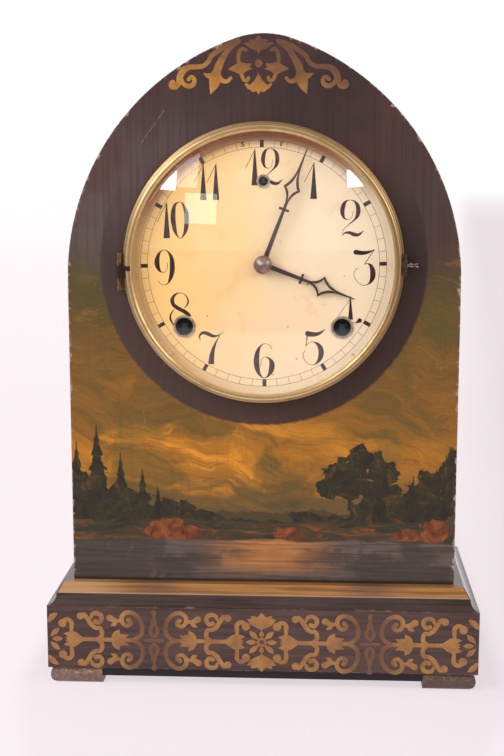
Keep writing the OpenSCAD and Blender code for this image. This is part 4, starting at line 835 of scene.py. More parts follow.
GLYPHS = {
    "1": [
        ("square", [(0, 10.2, 0.5), (0, 3.4, 1.7), (0, -3.4, 2.85), (0, -10.2, 4)]),
        ("open", [(-0.4, 9, 0.36), (-2.9, 4.1, 0.34), (-5.3, -0.7, 0.3)]),
    ],
    "2": [
        ("open", [
            (0.5, 3.9, 0.25), (0.25, 1.75, 0.25), (-0.65, -0.1, 0.25), (-2.3, -0.8, 0.3), (-4.5, 0.3, 1.3),
            (-5.5, 3.9, 2.6), (-4.7, 7.8, 2.2), (-3, 9.8, 0.9), (-1, 10.2, 0.3), (1.2, 9.6, 0.9),
            (3, 7.4, 2.2), (3.5, 4.3, 2.7), (3, 1.4, 2.2), (1.5, -0.8, 1.1), (-1.6, -3.4, 0.5),
            (-4.3, -5.9, 0.3), (-5.6, -8.6, 0.25),
        ]),
        ("open", [
            (-5.6, -9.8, 0.3), (-3.8, -8.3, 1), (-1.2, -8.2, 1.9), (1.35, -9.2, 2.3), (3.9, -9.2, 1.7),
            (6.8, -7, 0.25),
        ]),
    ],
    "3": [
        ("open", [(-5.1, 8.7, 2.9), (-1.8, 8.3, 2.5), (1.8, 8.7, 1.7), (5.3, 10.2, 0.3)]),
        ("open", [(5.2, 10, 0.4), (2.5, 6, 0.45), (-0.2, 1.9, 0.5)]),
        ("open", [
            (-0.2, 1.9, 0.3), (1.8, 2.2, 0.6), (3.6, 0.7, 2.2), (4.6, -2.4, 3.2), (4.45, -5.7, 3),
            (3.3, -8.3, 1.6), (1.5, -9.7, 0.5), (-1.1, -10.2, 0.3), (-4.4, -7.9, 0.3), (-6.1, -4.3, 0.3),
            (-5.5, -1.7, 0.35), (-4.1, -0.4, 0.4),
        ]),
    ],
    "4": [
        ("square", [(0, 10.25, 0.4), (0.1, 3.4, 1.7), (0.2, -3.4, 2.95), (0.3, -10.2, 4.2)]),
        ("open", [(-0.3, 8.4, 0.25), (-4.8, 1.6, 0.25), (-9.3, -5.3, 0.25)]),
        ("open", [(-9.3, -5.3, 0.5), (-3.5, -5.3, 0.5), (2.2, -5.3, 0.5)]),
        ("open", [(2.2, -5.3, 0.3), (3.6, -5.1, 0.8), (5.3, -4, 2.9)]),
    ],
    "5": [
        ("open", [(-3.5, 7.9, 3.2), (-1.1, 7.5, 2.9), (1.9, 7.7, 2.2), (3.9, 8.6, 1.4), (6.3, 10.35, 0.3)]),
        ("open", [(-3.8, 7, 0.9), (-4.1, 3.7, 0.5), (-4.6, 0.7, 0.6)]),
        ("open", [
            (-4.6, 0.9, 0.3), (-2.6, 2.5, 0.3), (-0.5, 3.05, 0.4), (1.9, 2.1, 1.6), (3.6, 0, 2.8),
            (4.3, -2.9, 3.2), (3.8, -5.9, 2.8), (2.5, -8.3, 1.7), (0.7, -9.8, 0.6), (-1.4, -10.3, 0.3),
            (-4.1, -9, 0.3), (-5.9, -6.2, 0.3), (-6.1, -4.1, 0.35), (-5.2, -2.1, 0.4),
        ]),
    ],
    "6": [
        ("open", [
            (4.5, 7, 0.35), (3.05, 9.2, 0.3), (0.4, 10.1, 0.3), (-2, 8.75, 0.9), (-3.7, 5.65, 2.3),
            (-4.5, 0.6, 3.4), (-4, -4.4, 3), (-2.6, -8, 1.6), (-0.1, -10.1, 0.3), (2.6, -8.25, 1.6),
            (4.2, -4.8, 3.2), (4.4, -1.4, 3.1), (3, 1.3, 1.3), (0.4, 2.3, 0.3), (-1.4, 0.7, 0.3),
            (-2.05, -3, 0.3),
        ]),
    ],
    "7": [
        ("open", [
            (-6.3, 4.4, 0.3), (-6.75, 6.8, 1), (-5, 8.6, 1.7), (-2.3, 8.3, 2.2), (0.9, 6.9, 1.9),
            (3.9, 7.2, 0.8), (7.2, 9.5, 0.25),
        ]),
        ("square", [
            (5.1, 7.25, 0.4), (3.4, 4.5, 0.7), (1.6, 0.4, 1.7), (0.4, -4.15, 2.8), (-0.15, -9.6, 3.5),
        ]),
    ],
    "8": [
        ("open", [
            (2.7, 1.5, 0.4), (4.4, 3.65, 0.9), (4.7, 6.2, 0.9), (3.2, 8.9, 0.5), (0.2, 10.2, 0.35),
            (-2.7, 9.1, 1.3), (-4.4, 6.2, 2.3), (-3.6, 3.2, 2.3), (-0.45, 0.9, 2.3), (3, -0.9, 2.4),
            (5.5, -3.6, 2.4), (5.2, -7.1, 1.9), (2.5, -9.8, 0.6), (-0.2, -10.3, 0.4), (-3.4, -8.7, 0.7),
            (-5.5, -5.2, 1.2), (-5.3, -2.3, 0.9), (-3.5, 0.45, 0.4),
        ]),
    ],
    "9": [
        ("open", [
            (1.6, 2.4, 0.3), (1.5, -0.2, 0.3), (0.3, -2.4, 0.3), (-1.3, -2.85, 0.4), (-3.1, -1.6, 1.6),
            (-4.3, 1.6, 3), (-4.2, 4.9, 2.7), (-2.8, 8.4, 1.1), (-0.2, 10.1, 0.3), (2.15, 8.75, 0.9),
            (3.9, 5.65, 2.2), (4.4, 1.3, 3), (4.2, -2.7, 2.9), (3.2, -6.4, 2), (1.8, -9.1, 0.7),
            (-0.4, -10.1, 0.3), (-2.6, -9.3, 0.3), (-3.7, -7.8, 0.35),
        ]),
    ],
    "0": [
        ("closed", [
            (0, 10.3, 0.3), (-2.8, 8.6, 1.6), (-3.8, 4.2, 2.8), (-3.85, -0.1, 3), (-3, -5.3, 2.4),
            (-1.7, -8.7, 1), (0.1, -10.4, 0.3), (2.1, -8.5, 1.2), (3.4, -4.9, 2.4), (3.85, -0.1, 2.8),
            (3.6, 4.6, 2.6), (1.9, 8.8, 1.2),
        ]),
    ],
    "S": [
        ("open", [
            (0.75, 0.62, 0.42), (0.1, 1, 0.38), (-0.62, 0.55, 0.48), (0, 0.02, 0.56), (0.64, -0.55, 0.48),
            (0, -1, 0.38), (-0.78, -0.62, 0.42),
        ]),
    ],
    "F": [
        ("square", [(-0.45, 1.05, 0.54), (-0.45, -1.05, 0.54)]),
        ("square", [(-0.5, 0.9, 0.4), (0.8, 0.9, 0.4)]),
        ("square", [(-0.5, 0.02, 0.36), (0.5, 0.02, 0.36)]),
    ],
}
# Each figure with its place from the dial's middle and its width as a share of the drawn one
FIGURES = [
    ("1", -4.8, 54.8, 1), ("2", 4.8, 55, 0.9), ("1", 28.6, 47.2, 1), ("2", 50.4, 26.2, 1), ("3", 58, -1.7, 1),
    ("4", 50.05, -28.2, 1), ("5", 29.3, -47.8, 1), ("6", 0.7, -56, 1), ("7", -30, -48.5, 1),
    ("8", -48, -26.9, 1), ("9", -56.6, -2.1, 1), ("1", -55.2, 24.8, 1), ("0", -47.6, 24.9, 1),
    ("1", -34.1, 46.5, 1), ("1", -26.9, 46.5, 1),
]
LETTERS = [("S", -11.65, 67.6), ("F", 10.5, 67.7)]
# Holes of the dial, from its middle: x, z and radius
DIAL_HOLES = [(-45.5, -36.1, 4.95), (45.5, -36.1, 4.95), (0, 47, 2.5)]
TRACK_OUT, TRACK_IN = 70.45, 66.4
INK_RISE = 0.04


def drawn(glyph, x, z, size_x, size_z, face, rise, clear=()):
    """The strokes of a figure, scaled about its middle and moved to its place."""
    parts = []
    for way, points in GLYPHS[glyph]:
        rows = np.array(points, float) * [size_x, size_z, min(size_x, size_z)] + [x, z + DIAL_Z, 0]
        parts += stroke(rows, face, rise, closed=way == "closed", square=way == "square", clear=clear)
    return parts


def circle_rows(x, z, radius, width, steps):
    """Rows of x, z and width round a circle: x + r sin a, z + r cos a."""
    angle = np.arange(steps) * 2 * math.pi / steps
    return np.stack([x + radius * np.sin(angle), z + radius * np.cos(angle), np.full(steps, width)], 1)


def minute_track(outer, inner, face, rise):
    """Two rings, sixty thin lines across them and twelve thick hour marks, printed a little askew."""
    askew, low = -0.0126, 0.4
    rings = [circle_rows(0, DIAL_Z - low, radius, 0.22, 180) for radius in (outer, inner)]
    parts = [carried(ring, face, rise, True) for ring in rings]
    for minute in range(60):
        angle = minute * math.pi / 30 + askew
        along = np.array([math.sin(angle), math.cos(angle)])
        hour = minute % 5 == 0
        ends = [inner - 0.1 * hour, outer + 0.1 * hour]
        rows = [[*(along * end + [0, DIAL_Z - low]), 2.3 if hour else 0.2] for end in ends]
        parts.append(carried(np.array(rows), face, rise + 0.004, False))
    return parts


# Stencilled ornament: rows of x, z and width from the rosette's middle, for the upper right quarter

BASE_MOTIF = [
    ("open", [(0, 3.4, 0.7), (0, 5, 2), (0, 6.4, 1.4), (0, 7.1, 0.3)]),
    ("open", [(2.3, 2.3, 0.7), (4.2, 4.2, 2.1), (5.9, 5.9, 1.7), (7.1, 7.1, 0.3)]),
    ("open", [(3.4, 0, 0.7), (5.4, 0, 2.1), (7.6, 0, 1.6), (9, 0, 0.3)]),
    ("open", [(0, 7.7, 0.4), (0, 11, 2.4), (0, 14.6, 4.6), (0, 17.6, 2.4), (0, 19.3, 0.3)]),
    ("open", [(0.5, 9, 0.8), (2.8, 11.4, 2.2), (5.6, 13.6, 2.6), (8.2, 15.1, 0.4)]),
    ("open", [(1.2, 12.2, 1.6), (3, 14.6, 2.4), (5, 16.2, 1.6), (6.2, 16.9, 0.4)]),
    ("ball", [(9.1, 10.4, 3.4)]),
    ("open", [
        (9.1, 11.2, 1.5), (10.6, 12.7, 1.6), (12.6, 12.9, 1.8), (14.4, 11.2, 1.8), (14.5, 8.9, 1.8),
        (14.3, 5.2, 1.4),
    ]),
    ("open", [(10, 3.6, 0.3), (12.4, 3.3, 1.9), (15.4, 2.6, 3.2), (18.6, 1.1, 2.4), (21.1, 0.2, 1.4)]),
    ("open", [(11.2, 0.9, 0.5), (14, 0.5, 1.7), (18, 0.3, 2.2), (21.1, 0, 1.7)]),
    ("square", [(20.5, 0, 1.7), (30.8, 0, 1.7), (41, 0, 1.7), (52.5, 0, 1.7)]),
    ("open", [
        (30, 0.4, 1.5), (32.2, 2.2, 1.7), (32.6, 4.9, 1.8), (31.4, 7.6, 1.7), (29.1, 7.6, 1.7),
        (26.4, 9.8, 1.9), (24.2, 13.6, 1.9), (22.3, 16.4, 1.7), (20.6, 16.4, 1.5),
    ]),
    ("ball", [(19.9, 15.4, 3)]),
    ("open", [
        (26.2, 14.6, 1.2), (26.9, 16.6, 1.6), (29.4, 17.5, 1.8), (32, 16.2, 1.8), (32.4, 13.4, 1.8),
        (30.8, 11.2, 1.7), (28.8, 11.9, 1.9),
    ]),
    ("open", [(38.2, 0.6, 0.5), (40.2, 2.6, 2.3), (41.8, 4.6, 2.3), (42.8, 6.6, 0.4)]),
    ("open", [(41, 0.6, 0.6), (44, 2.2, 2.2), (46.6, 2.6, 1.4), (48.2, 3.6, 0.4)]),
    ("open", [
        (51.5, 0.4, 1.4), (54.4, 2, 1.7), (56.2, 4.6, 1.8), (56.7, 8.7, 1.8), (55.4, 13.2, 1.8),
        (52.4, 17, 1.8), (48, 18.3, 1.8), (44.6, 15.6, 1.8), (45, 11.2, 1.7), (47.6, 9.4, 1.6),
        (49.8, 11.2, 1.8), (48.4, 13.2, 1.9),
    ]),
    ("open", [(44.6, 13.4, 1.2), (42.4, 12.6, 1.5), (39.8, 13, 2), (37.4, 14.4, 2.8)]),
    ("open", [(41.6, 12.8, 0.8), (40, 10.6, 1.9), (38, 9.4, 0.4)]),
    ("open", [(63.5, 2, 1), (61.6, 5, 1.8), (61.8, 8.6, 1.4), (63.3, 11, 1)]),
    ("open", [(63.5, 12, 2.6), (63.5, 15, 1.2), (63.5, 18.4, 2.2)]),
    ("open", [(58.4, 0, 1.2), (61, 0, 1.6), (63.5, 0, 1)]),
]
BASE_EYE = [
    ("closed", [
        (2.1, 0, 1.5), (1.5, 1.5, 1.5), (0, 2.1, 1.5), (-1.5, 1.5, 1.5), (-2.1, 0, 1.5), (-1.5, -1.5, 1.5),
        (0, -2.1, 1.5),
        (1.5, -1.5, 1.5),
    ]),
]
CREST_MOTIF = [
    ("open", [(0, 5.2, 0.4), (0, 8.2, 2.4), (0, 11.6, 4.4), (0, 14, 2.2), (0, 15.3, 0.3)]),
    ("open", [(-0.6, 7.4, 1), (-3, 9.2, 2.6), (-5.6, 10.4, 2.2), (-8.2, 11.1, 0.4)]),
    ("open", [(-1.2, 10.6, 1.6), (-3.2, 12, 1.9), (-5.4, 12.6, 0.4)]),
    ("open", [(-16.7, -3, 0.4), (-13.6, -2.8, 3), (-10, -2.5, 5.6), (-6.6, -1.6, 3), (-4.2, -0.2, 0.5)]),
    ("open", [(-12, -2.6, 2.8), (-7.8, -2.9, 2.4), (-3.7, -2.9, 0.5)]),
    ("open", [(-10.8, -0.4, 1.6), (-11.3, 3, 1.8), (-10.8, 6, 1.8), (-9.2, 8, 1.7), (-7.2, 7.4, 1.7)]),
    ("open", [(-9.8, -4.4, 1.7), (-9.2, -6.8, 1.8), (-8, -9, 1.7), (-6.2, -9.2, 1.6), (-5.6, -7.9, 1.7)]),
    ("open", [(0, -5.6, 0.4), (0, -9.4, 3.4), (0, -12.8, 4.2), (0, -16.1, 1)]),
    ("open", [(-0.6, -8.6, 1.6), (-2.4, -11.8, 2.8), (-4.8, -13, 2.2), (-7, -11.4, 1.2)]),
    ("open", [(-0.8, -11.2, 2), (-2.4, -14.4, 2), (-4, -14.6, 0.8)]),
    ("open", [
        (-10.8, 12.3, 1.8), (-14.9, 11, 2.2), (-19.4, 9, 2.4), (-23.9, 6, 2.3), (-26.6, 4, 2.2),
        (-28.2, 0.9, 2.1), (-31.2, -1.3, 2.1), (-35.1, -1.8, 2.2), (-39.3, -2.1, 2.6), (-42.1, -3.8, 3),
        (-44.2, -7.2, 3), (-44.8, -10.6, 2.4), (-46.4, -12.9, 2), (-48.8, -12.9, 1.8), (-49.6, -11.8, 1.8),
    ]),
    ("ball", [(-48.4, -10.6, 3)]),
    ("open", [
        (-43.4, -8.4, 1.6), (-42.2, -11, 2), (-39.4, -12.4, 2.2), (-36.8, -11.5, 2.2), (-36, -9, 2),
        (-37.6, -7.3, 1.8), (-39.4, -8.7, 1.8),
    ]),
    ("open", [
        (-11.1, 11.6, 1.6), (-16.3, 8, 2.2), (-19.4, 3.9, 2.8), (-21.9, -0.5, 3.4), (-23.3, -4.2, 3.6),
    ]),
    ("open", [(-22.8, -3.4, 2.4), (-24, -7, 5.4), (-25, -11.4, 4.6), (-27, -16.6, 0.4)]),
    ("open", [(-24, -6.6, 3), (-27.6, -6.8, 2.6), (-30.8, -5.4, 0.4)]),
    ("open", [(-23, -6.6, 2.6), (-20.6, -9.2, 2.4), (-17.6, -9.8, 1.8), (-15.6, -8, 1.6)]),
]
# Middle of the crest, width of the base's repeat, its drop below the rail's middle and its margin at the ends
CREST_AT = (-2.7, 361.6)
PERIOD = 127
MOTIF_DROP = 1.3
MOTIF_MARGIN = 1.2
# Thickness of a stroke, and the small steps that keep crossing strokes from lying in one plane
STROKE_RISE = 0.06
RISE_STEP = 0.003
RISE_SPAN = 0.087


def ornament(motif, at, face, mirror_x, mirror_z, sizes=(1, 1, 1), limit=None):
    """A motif's strokes and their mirror images at a place on an upright plane; sizes scale each row."""
    parts, lift = [], 0
    for side in (1, -1) if mirror_x else (1,):
        for up in (1, -1) if mirror_z else (1,):
            for way, points in motif:
                scale = [side * sizes[0], up * sizes[1], sizes[2]]
                rows = np.array(points, float) * scale + [at[0], at[1], 0]
                if mirror_z and up < 0 and abs(rows[:, 1] - at[1]).max() < 0.01:
                    continue
                if limit is not None and abs(rows[:, 0]).max() > limit:
                    continue
                lift = (lift + RISE_STEP) % RISE_SPAN
                rise = STROKE_RISE + lift
                if way == "ball":
                    x, z, across = rows[0]
                    parts.append(carried(circle_rows(x, z, across / 4, across / 2, 14), face, rise, True))
                else:
                    parts += stroke(rows, face, rise, way == "closed", way == "square", samples=7)
    return parts


def dress(finish, *names):
    """Puts one finish on CAD nodes."""
    for name in names:
        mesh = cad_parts[name].data
        mesh.materials.clear()
        mesh.materials.append(finish.material)


# What a user would change


def colour_choice(name, description, red, green, blue):
    """A colour property whose default is given in 0..255."""
    return bpy.props.FloatVectorProperty(
        name=name, description=description, subtype="COLOR", min=0, max=1,
        default=linear(red, green, blue)[:3],
    )


def length_choice(name, description, millimetres):
    """A length property whose default is given in millimetres."""
    return bpy.props.FloatProperty(
        name=name, description=description, default=millimetres * MM, min=0, unit="LENGTH", precision=5
    )


class ClockSizes(bpy.types.PropertyGroup):
    """Sizes of the drawn and turned detail."""

    figure_height: length_choice("Figure height", "Height of the dial's hour figures", 20.5)
    track_outer: length_choice("Track radius", "Radius of the minute track's outer ring", TRACK_OUT)
    track_inner: length_choice("Track inner radius", "Radius of the minute track's inner ring", TRACK_IN)
    glass_thickness: length_choice("Glass thickness", "Thickness of the bezel's glass", 1.5)


class ClockColours(bpy.types.PropertyGroup):
    """Colours of the clock's finishes."""

    lacquer_dark: colour_choice("Dark lacquer", "Dark streaks of the case's wood", 44, 33, 32)
    lacquer_light: colour_choice("Light lacquer", "Light streaks of the case's wood", 68, 53, 51)
    dial_warm: colour_choice("Warm dial", "Yellowed part of the dial", 247, 198, 128)
    dial_pale: colour_choice("Pale dial", "Pale part of the dial", 241, 216, 186)
    ink: colour_choice("Ink", "Figures and minute track", 54, 28, 30)


# Pieces


class CLOCK_OT_case(bpy.types.Operator):
    """Paints the front board and finishes the case's sides, back and back door"""

    bl_idname = "clock.case"
    bl_label = "Case"
    bl_options = {"REGISTER", "UNDO"}

    def execute(self, context):
        dress(painted_front(), "front_board")
        dark, light = colour_of("lacquer_dark"), colour_of("lacquer_light")
        dress(lacquered_wood("lacquered_side", (1, 1, 0.035), dark, light, 0.48), "case_shell")
        dress(raw_wood("pine_upright", (1, 1, 0.05)), "back_board", "back_door")
        iron = metal("iron_hinge", (96, 84, 74), (52, 42, 38), 0.5)
        dress(iron, "door_hinge_leaves", "door_leaves_fixed", "door_button")
        return {"FINISHED"}


class CLOCK_OT_base(bpy.types.Operator):
    """Finishes the base's rails, moulded top and feet"""

    bl_idname = "clock.base"
    bl_label = "Base"
    bl_options = {"REGISTER", "UNDO"}

    def execute(self, context):
        dress(lacquered_wood("lacquered_rail", ALONG_X, (66, 48, 45), (92, 68, 62), 0.5), "base_front_rail")
        dress(lacquered_wood("lacquered_end", (1, 0.04, 1), *END_STAIN, 0.5), "base_side_rails")
        dress(raw_wood("pine_level", (0.05, 1, 1)), "base_back_rail")
        dress(moulded_top(), "base_top")
        dress(bronzed_feet(), "feet")
        black = lacquered_wood("black_board", ALONG_X, (24, 17, 17), (38, 30, 30), 0.3, (70, 56, 50))
        dress(black, "base_bottom")
        return {"FINISHED"}


class CLOCK_OT_stencils(bpy.types.Operator):
    """Draws the gilt ornament of the base and of the arch"""

    bl_idname = "clock.stencils"
    bl_label = "Gilt stencils"
    bl_options = {"REGISTER", "UNDO"}

    def execute(self, context):
        gold = stencil_gold()
        middle = (RAIL_LOW[2] + RAIL_HIGH[2]) / 2 - MOTIF_DROP
        limit = BASE_HALF - MOTIF_MARGIN
        parts = []
        for at in (-PERIOD, 0, PERIOD):
            parts += ornament(BASE_MOTIF, (at, middle), RAIL_FRONT, True, True, (1, 0.93, 1.5), limit)
            parts += ornament(BASE_EYE, (at, middle), RAIL_FRONT, False, False, (1, 1, 1), limit)
        make_piece("base_stencil", parts, "case", gold)
        crest = ornament(CREST_MOTIF, CREST_AT, CASE_FRONT, True, False, (1, 1, 1.24))
        crest += ornament([("ball", [(0, 0, 4.4)])], CREST_AT, CASE_FRONT, False, False)
        make_piece("crest_stencil", crest, "case", gold)
        return {"FINISHED"}


class CLOCK_OT_dial(bpy.types.Operator):
    """Finishes the dial and prints its figures and minute track"""

    bl_idname = "clock.dial"
    bl_label = "Dial"
    bl_options = {"REGISTER", "UNDO"}

    def execute(self, context):
        sizes = context.scene.clock_sizes
        dress(dial_paper(), "dial_plate")
        dress(ferrule_brass(), "dial_fittings")
        clear = [(x, z + DIAL_Z, radius) for x, z, radius in DIAL_HOLES]
        scale = sizes.figure_height / MM / 20.5
        parts = []
        for index, (glyph, x, z, wide) in enumerate(FIGURES):
            rise = INK_RISE + 0.004 * (index % 3)
            parts += drawn(glyph, x, z, wide * scale, scale, DIAL_FACE, rise, clear)
        ink = printing_ink()
        make_piece("dial_figures", parts, "case", ink)
        parts = minute_track(sizes.track_outer / MM, sizes.track_inner / MM, DIAL_FACE, INK_RISE)
        for letter, x, z in LETTERS:
            parts += drawn(letter, x, z, 1.25, 1.3, DIAL_FACE, INK_RISE + 0.02)
        make_piece("minute_track", parts, "case", ink)
        return {"FINISHED"}


class CLOCK_OT_bezel(bpy.types.Operator):
    """Turns the brass bezel and its glass, and finishes hinge and knob"""

    bl_idname = "clock.bezel"
    bl_label = "Bezel"
    bl_options = {"REGISTER", "UNDO"}

    def execute(self, context):
        # the third colour is painted shade, darker to the right and round the bezel's outer rim
        bright, dull, rim_shade = (226, 190, 136), (190, 154, 104), (140, 102, 64)
        brass = metal("bezel_brass", bright, dull, 0.36, 26, (0.3, 0.42), 0.8, rim_shade=rim_shade)
        rim = [revolve(bezel_profile())]
        make_piece("turned_bezel", rim, "bezel_door", brass, ["bezel_rim"], True)
        thick = context.scene.clock_sizes.glass_thickness / MM
        dome = [revolve(glass_profile(thick), 128, True)]
        clear = clear_glass()
        glass = make_piece("domed_glass", dome, "bezel_door", clear, ["bezel_glass"], True)
        glass.visible_shadow = False
        dress(brass, "glass_ring")
        dress(metal("hinge_brass", (204, 172, 140), (120, 92, 72), 0.45, 4), "case_hinge_leaf")
        dress(metal("hinge_iron", (118, 92, 88), (78, 58, 56), 0.5, 3), "bezel_hinge_leaf", "bezel_hinge_pin")
        dress(metal("knob_brass", (218, 184, 166), (112, 78, 68), 0.44, 1.6, (0.14, 0.3)), "bezel_knob")
        return {"FINISHED"}


class CLOCK_OT_hands(bpy.types.Operator):
    """Finishes the hands and their nut"""

    bl_idname = "clock.hands"
    bl_label = "Hands"
    bl_options = {"REGISTER", "UNDO"}

    def execute(self, context):
        blued = metal("blued_steel", (84, 58, 58), (58, 38, 38), 0.5, 4, (0.4, 0.55), 0.3)
        dress(blued, "hour_hand", "minute_hand")
        dress(metal("dull_nut", (168, 142, 136), (120, 98, 94), 0.45, 2.5, (0.26, 0.4), 0.7), "hand_nut")
        return {"FINISHED"}


class CLOCK_OT_movement(bpy.types.Operator):
    """Finishes the plates, wheels, levers, springs, pendulum and gong"""

    bl_idname = "clock.movement"
    bl_label = "Movement"
    bl_options = {"REGISTER", "UNDO"}

    def execute(self, context):
        # the plates are near black where they show through the dial's holes: painted shade
        plate = metal(
            "plate_brass", (200, 164, 96), (138, 104, 58), 0.42, 9, (0.26, 0.46), brushed=(0.1, 1, 3), shaded_behind_holes=1
        )
        dress(plate, "front_plate", "back_plate", "suspension_cock")
        wheel = metal("wheel_brass", (206, 168, 96), (140, 106, 58), 0.4, 5, (0.24, 0.44), wear=0.4)
        dress(
            wheel, "time_great_wheel", "time_second_wheel", "centre_wheel", "fourth_wheel", "escape_wheel",
            "minute_wheel", "hour_wheel", "strike_great_wheel", "strike_second_wheel", "cam_wheel",
            "warning_wheel", "fly", "count_wheel", "plate_pillars", "regulator_slide",
        )
        steel = metal("oiled_steel", (150, 146, 142), (84, 76, 70), 0.45, 4, (0.24, 0.42), wear=0.4)
        dress(
            steel, "movement_screws", "time_click", "verge", "suspension_spring", "pendulum_rod",
            "strike_click", "count_lever", "lifting_lever", "hammer",
        )
        # painted shade: the arbors near black, as the shade inside the dial's holes
        dark_steel = metal("dark_steel", (30, 27, 26), (12, 11, 11), 0.6, 3, (0.4, 0.6), 0.2)
        dress(dark_steel, "time_winding_arbor", "strike_winding_arbor", "regulator_arbor")
        spring = metal("spring_steel", (92, 92, 102), (58, 54, 58), 0.5, 6, (0.28, 0.4), brushed=(1, 4, 1))
        dress(spring, "time_mainspring", "strike_mainspring")
        bob = metal("bob_brass", (204, 164, 92), (134, 100, 56), 0.42, 7, (0.18, 0.38), wear=0.4)
        dress(bob, "pendulum_bob")
        dress(metal("blue_gong", (70, 64, 78), (46, 40, 44), 0.5, 6, (0.3, 0.45)), "gong_coil")
        dress(metal("cast_iron", (64, 60, 58), (40, 36, 34), 0.5, 3, (0.5, 0.7), 0.4), "gong_stand")
        return {"FINISHED"}


def arc(r, h, radius, start, end, steps):
    """Points of a circle round r, h between two angles in degrees: r + radius cos a, h + radius sin a."""
    angle = np.radians(np.linspace(start, end, steps))
    return np.stack([r + radius * np.cos(angle), h + radius * np.sin(angle)], 1)


def bezel_profile():
    """Radius and height round the bezel's section: wall, seat, rounded band, flat and rolled edge."""
    front = -CASE_FRONT
    return np.vstack(
        [
            [[76, front + 0.3], [76, front + 5.45], [74.75, front + 5.45], [74.75, front + 5.85]],
            arc(76.7, front + 5.6, 1.94, 172, 0, 28),
            [[78.62, front + 4], [78.62, front + 2.2], [78.8, front + 1.72], [79.3, front + 1.52]],
            arc(79.9, front + 0.9, 0.6, 90, -90, 9),
        ]
    )


# How far the glass's middle stands before its edge, in millimetres
DOME_RISE = 8.7


def glass_profile(thick):
    """Radius and height round the dome: out along one sphere and back along a smaller one inside it."""
    apex = -GLASS_LOW[1]
    ball = (GLASS_RADIUS**2 + DOME_RISE**2) / (2 * DOME_RISE)
    out = np.linspace(0, GLASS_RADIUS, 22)
    outer = np.stack([out, apex - ball + np.sqrt(ball**2 - out**2)], 1)
    inner = np.stack([out, apex - ball + np.sqrt((ball - thick) ** 2 - out**2)], 1)
    return np.vstack([outer, inner[::-1]])


# Stage


def area_light(name, place, target, wide, high, power, colour):
    """A rectangular lamp at a place, turned to a target; metres and watts."""
    lamp = bpy.data.lights.new(name, "AREA")
    lamp.shape, lamp.size, lamp.size_y, lamp.energy, lamp.color = "RECTANGLE", wide, high, power, colour
    item = bpy.data.objects.new(name, lamp)
    bpy.context.scene.collection.objects.link(item)
    item.location = place
    item.rotation_euler = (Vector(target) - Vector(place)).to_track_quat("-Z", "Y").to_euler()


def floor_material():
    """Pale floor: half of it glows, so shadows stay light; white further off; bright to metal and glass
    as far as it lies behind the front edge. Seen straight means that every bounce so far was a passage
    through glass."""
    material = bpy.data.materials.new("pale_floor")
    f = emptied(material)
    at = f.add("TexCoord")["Object"]
    x, y, _ = f.split(at)
    away = f.measure("LENGTH", at)
    aside = f.step(x - y * 0.1, 0.06, 0.2) * f.step(y, -0.3, 0.1)
    glow = f.over((253, 243, 247), (255, 253, 254), away, 0.5, 6)
    glow = f.over(f.blend(aside, glow, (235, 225, 229)), (255, 255, 255), away, 5, 13)
    path = f.add("LightPath")
    straight = f.add("Math", path["Ray Depth"] - path["Transmission Depth"], 0.5, operation="LESS_THAN")[0]
    mirrored = f.most(path["Is Glossy Ray"], path["Is Transmission Ray"]) * (1 - straight)
    ahead = f.most(-0.07 - y, 0) * 0.25
    beside = f.step(abs(x) + ahead, 0.11, 0.155, 0, 0.97)
    share = f.most(f.step(away, 0.2, 1.2, 0.7, 1), beside) * straight
    near = f.step(y, -0.66, -0.6, 0.1, 0.95)
    light = f.blend(mirrored, glow, f.add("CombineColor", near, near * 0.97, near)[0])
    matt = f.add("BsdfDiffuse", linear(250, 240, 244))[0]
    shown = f.add("MixShader", f.most(share, mirrored), matt, f.add("Emission", light, 1)[0])
    f.add("OutputMaterial", shown[0])
    return material


def surroundings():
    """World: soft light on matt surfaces, white to the camera and through glass, darker ahead in mirrors."""
    world = bpy.data.worlds.new("surroundings")
    f = emptied(world)
    path = f.add("LightPath")
    _, y, z = f.split(f.add("TexCoord")["Generated"])
    room = f.step(y, -0.97, -0.2, 0.14, 1) * f.step(z, 0.9, 0, 0.75, 1)
    plain = f.add("Background", (1, 0.985, 0.99, 1), 0.48)[0]
    mirrored = f.add("Background", (1, 0.98, 0.985, 1), room)[0]
    white = f.add("Background", (1, 1, 1, 1), 1)[0]
    shown = f.add("MixShader", path["Is Glossy Ray"], plain, mirrored)[0]
    seen = f.most(path["Is Camera Ray"], path["Is Transmission Ray"])
    f.add("OutputWorld", f.add("MixShader", seen, shown, white)[0])
    return world


# Lamps: name, place, target, width, height, watts and colour. The last four are panes that show in the glass
MIDDLE = (0, -0.05, 0.2)
LAMPS = [
    ("left_lamp", (-1.5, -1.1, 1.35), MIDDLE, 0.9, 0.9, 18.5, (1, 0.985, 0.97)),
    ("right_lamp", (1.6, -0.9, 1.1), MIDDLE, 0.9, 0.9, 9.5, (1, 0.98, 0.985)),
    ("left_pane", (-0.474, -0.93, 0.554), (-0.054, -0.06, 0.297), 0.082, 0.09, 0.4, (1, 1, 1)),
    ("right_pane", (0.385, -0.963, 0.569), (0.0525, -0.06, 0.298), 0.09, 0.08, 0.4, (1, 1, 1)),
    ("upper_pane", (-0.387, -0.950, 0.605), (-0.0426, -0.0611, 0.3033), 0.105, 0.165, 0.2, (1, 0.95, 1)),
    ("lower_pane", (-0.328, -1.009, 0.432), (-0.0348, -0.0648, 0.2814), 0.15, 0.14, 0.24, (1, 0.99, 0.97)),
]
FLOOR_REACH = 14


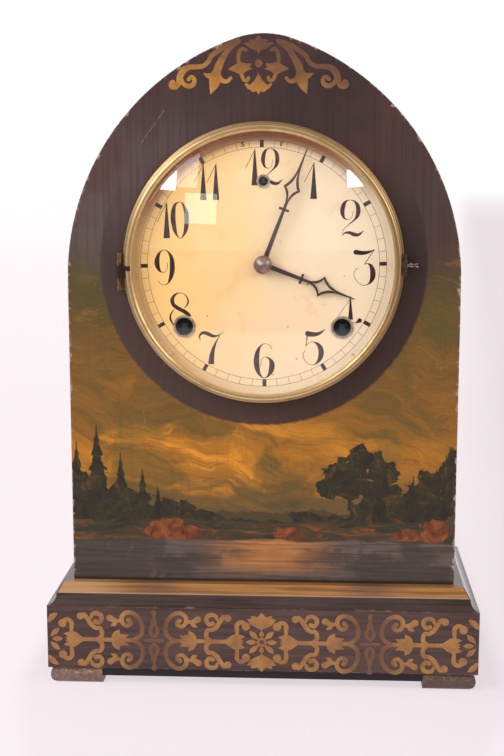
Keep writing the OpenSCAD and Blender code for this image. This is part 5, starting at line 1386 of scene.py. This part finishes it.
class CLOCK_OT_stage(bpy.types.Operator):
    """Makes the pale floor, the soft lamps, the white surroundings and the camera"""

    bl_idname = "clock.stage"
    bl_label = "Stage"
    bl_options = {"REGISTER", "UNDO"}

    def execute(self, context):
        scene = context.scene
        scene.view_settings.view_transform = "Standard"
        mesh = bpy.data.meshes.new("floor")
        corners = [(x * FLOOR_REACH, y * FLOOR_REACH, 0) for x, y in ((-1, -1), (1, -1), (1, 1), (-1, 1))]
        mesh.from_pydata(corners, [], [(0, 1, 2, 3)])
        mesh.materials.append(floor_material())
        floor = bpy.data.objects.new("floor", mesh)
        scene.collection.objects.link(floor)
        scene.world = surroundings()
        for lamp in LAMPS:
            area_light(*lamp)
        camera = bpy.data.cameras.new("camera")
        camera.lens, camera.sensor_width, camera.sensor_fit = 64.486, 36, "AUTO"
        item = bpy.data.objects.new("camera", camera)
        scene.collection.objects.link(item)
        item.location = (0.03366, -0.82888, 0.30944)
        item.rotation_euler = (math.pi / 2 - 0.1611, 0, 0.0516)
        scene.camera = item
        return {"FINISHED"}


class CLOCK_PT_panel(bpy.types.Panel):
    """Lists the clock's operators, colours and sizes"""

    bl_idname = "CLOCK_PT_panel"
    bl_label = "Shelf clock"
    bl_space_type = "VIEW_3D"
    bl_region_type = "UI"
    bl_category = "Clock"

    def draw(self, context):
        layout = self.layout
        for operator in OPERATORS:
            layout.operator(operator.bl_idname)
        for group in (context.scene.clock_sizes, context.scene.clock_colours):
            for name in group.__annotations__:
                layout.prop(group, name)


OPERATORS = (
    CLOCK_OT_case, CLOCK_OT_base, CLOCK_OT_stencils, CLOCK_OT_dial, CLOCK_OT_bezel, CLOCK_OT_hands,
    CLOCK_OT_movement, CLOCK_OT_stage,
)
CLASSES = (ClockSizes, ClockColours, *OPERATORS, CLOCK_PT_panel)


def register():
    for one in CLASSES:
        bpy.utils.register_class(one)
    bpy.types.Scene.clock_sizes = bpy.props.PointerProperty(type=ClockSizes)
    bpy.types.Scene.clock_colours = bpy.props.PointerProperty(type=ClockColours)


def unregister():
    del bpy.types.Scene.clock_colours
    del bpy.types.Scene.clock_sizes
    for one in reversed(CLASSES):
        bpy.utils.unregister_class(one)


def main():
    """Builds the clock's finishes and detail in order."""
    register()
    build_groups()
    build_holes()
    build_grove()
    bpy.ops.clock.case()
    bpy.ops.clock.base()
    bpy.ops.clock.stencils()
    bpy.ops.clock.dial()
    bpy.ops.clock.bezel()
    bpy.ops.clock.hands()
    bpy.ops.clock.movement()
    bpy.ops.clock.stage()


if __name__ == "__main__":
    main()
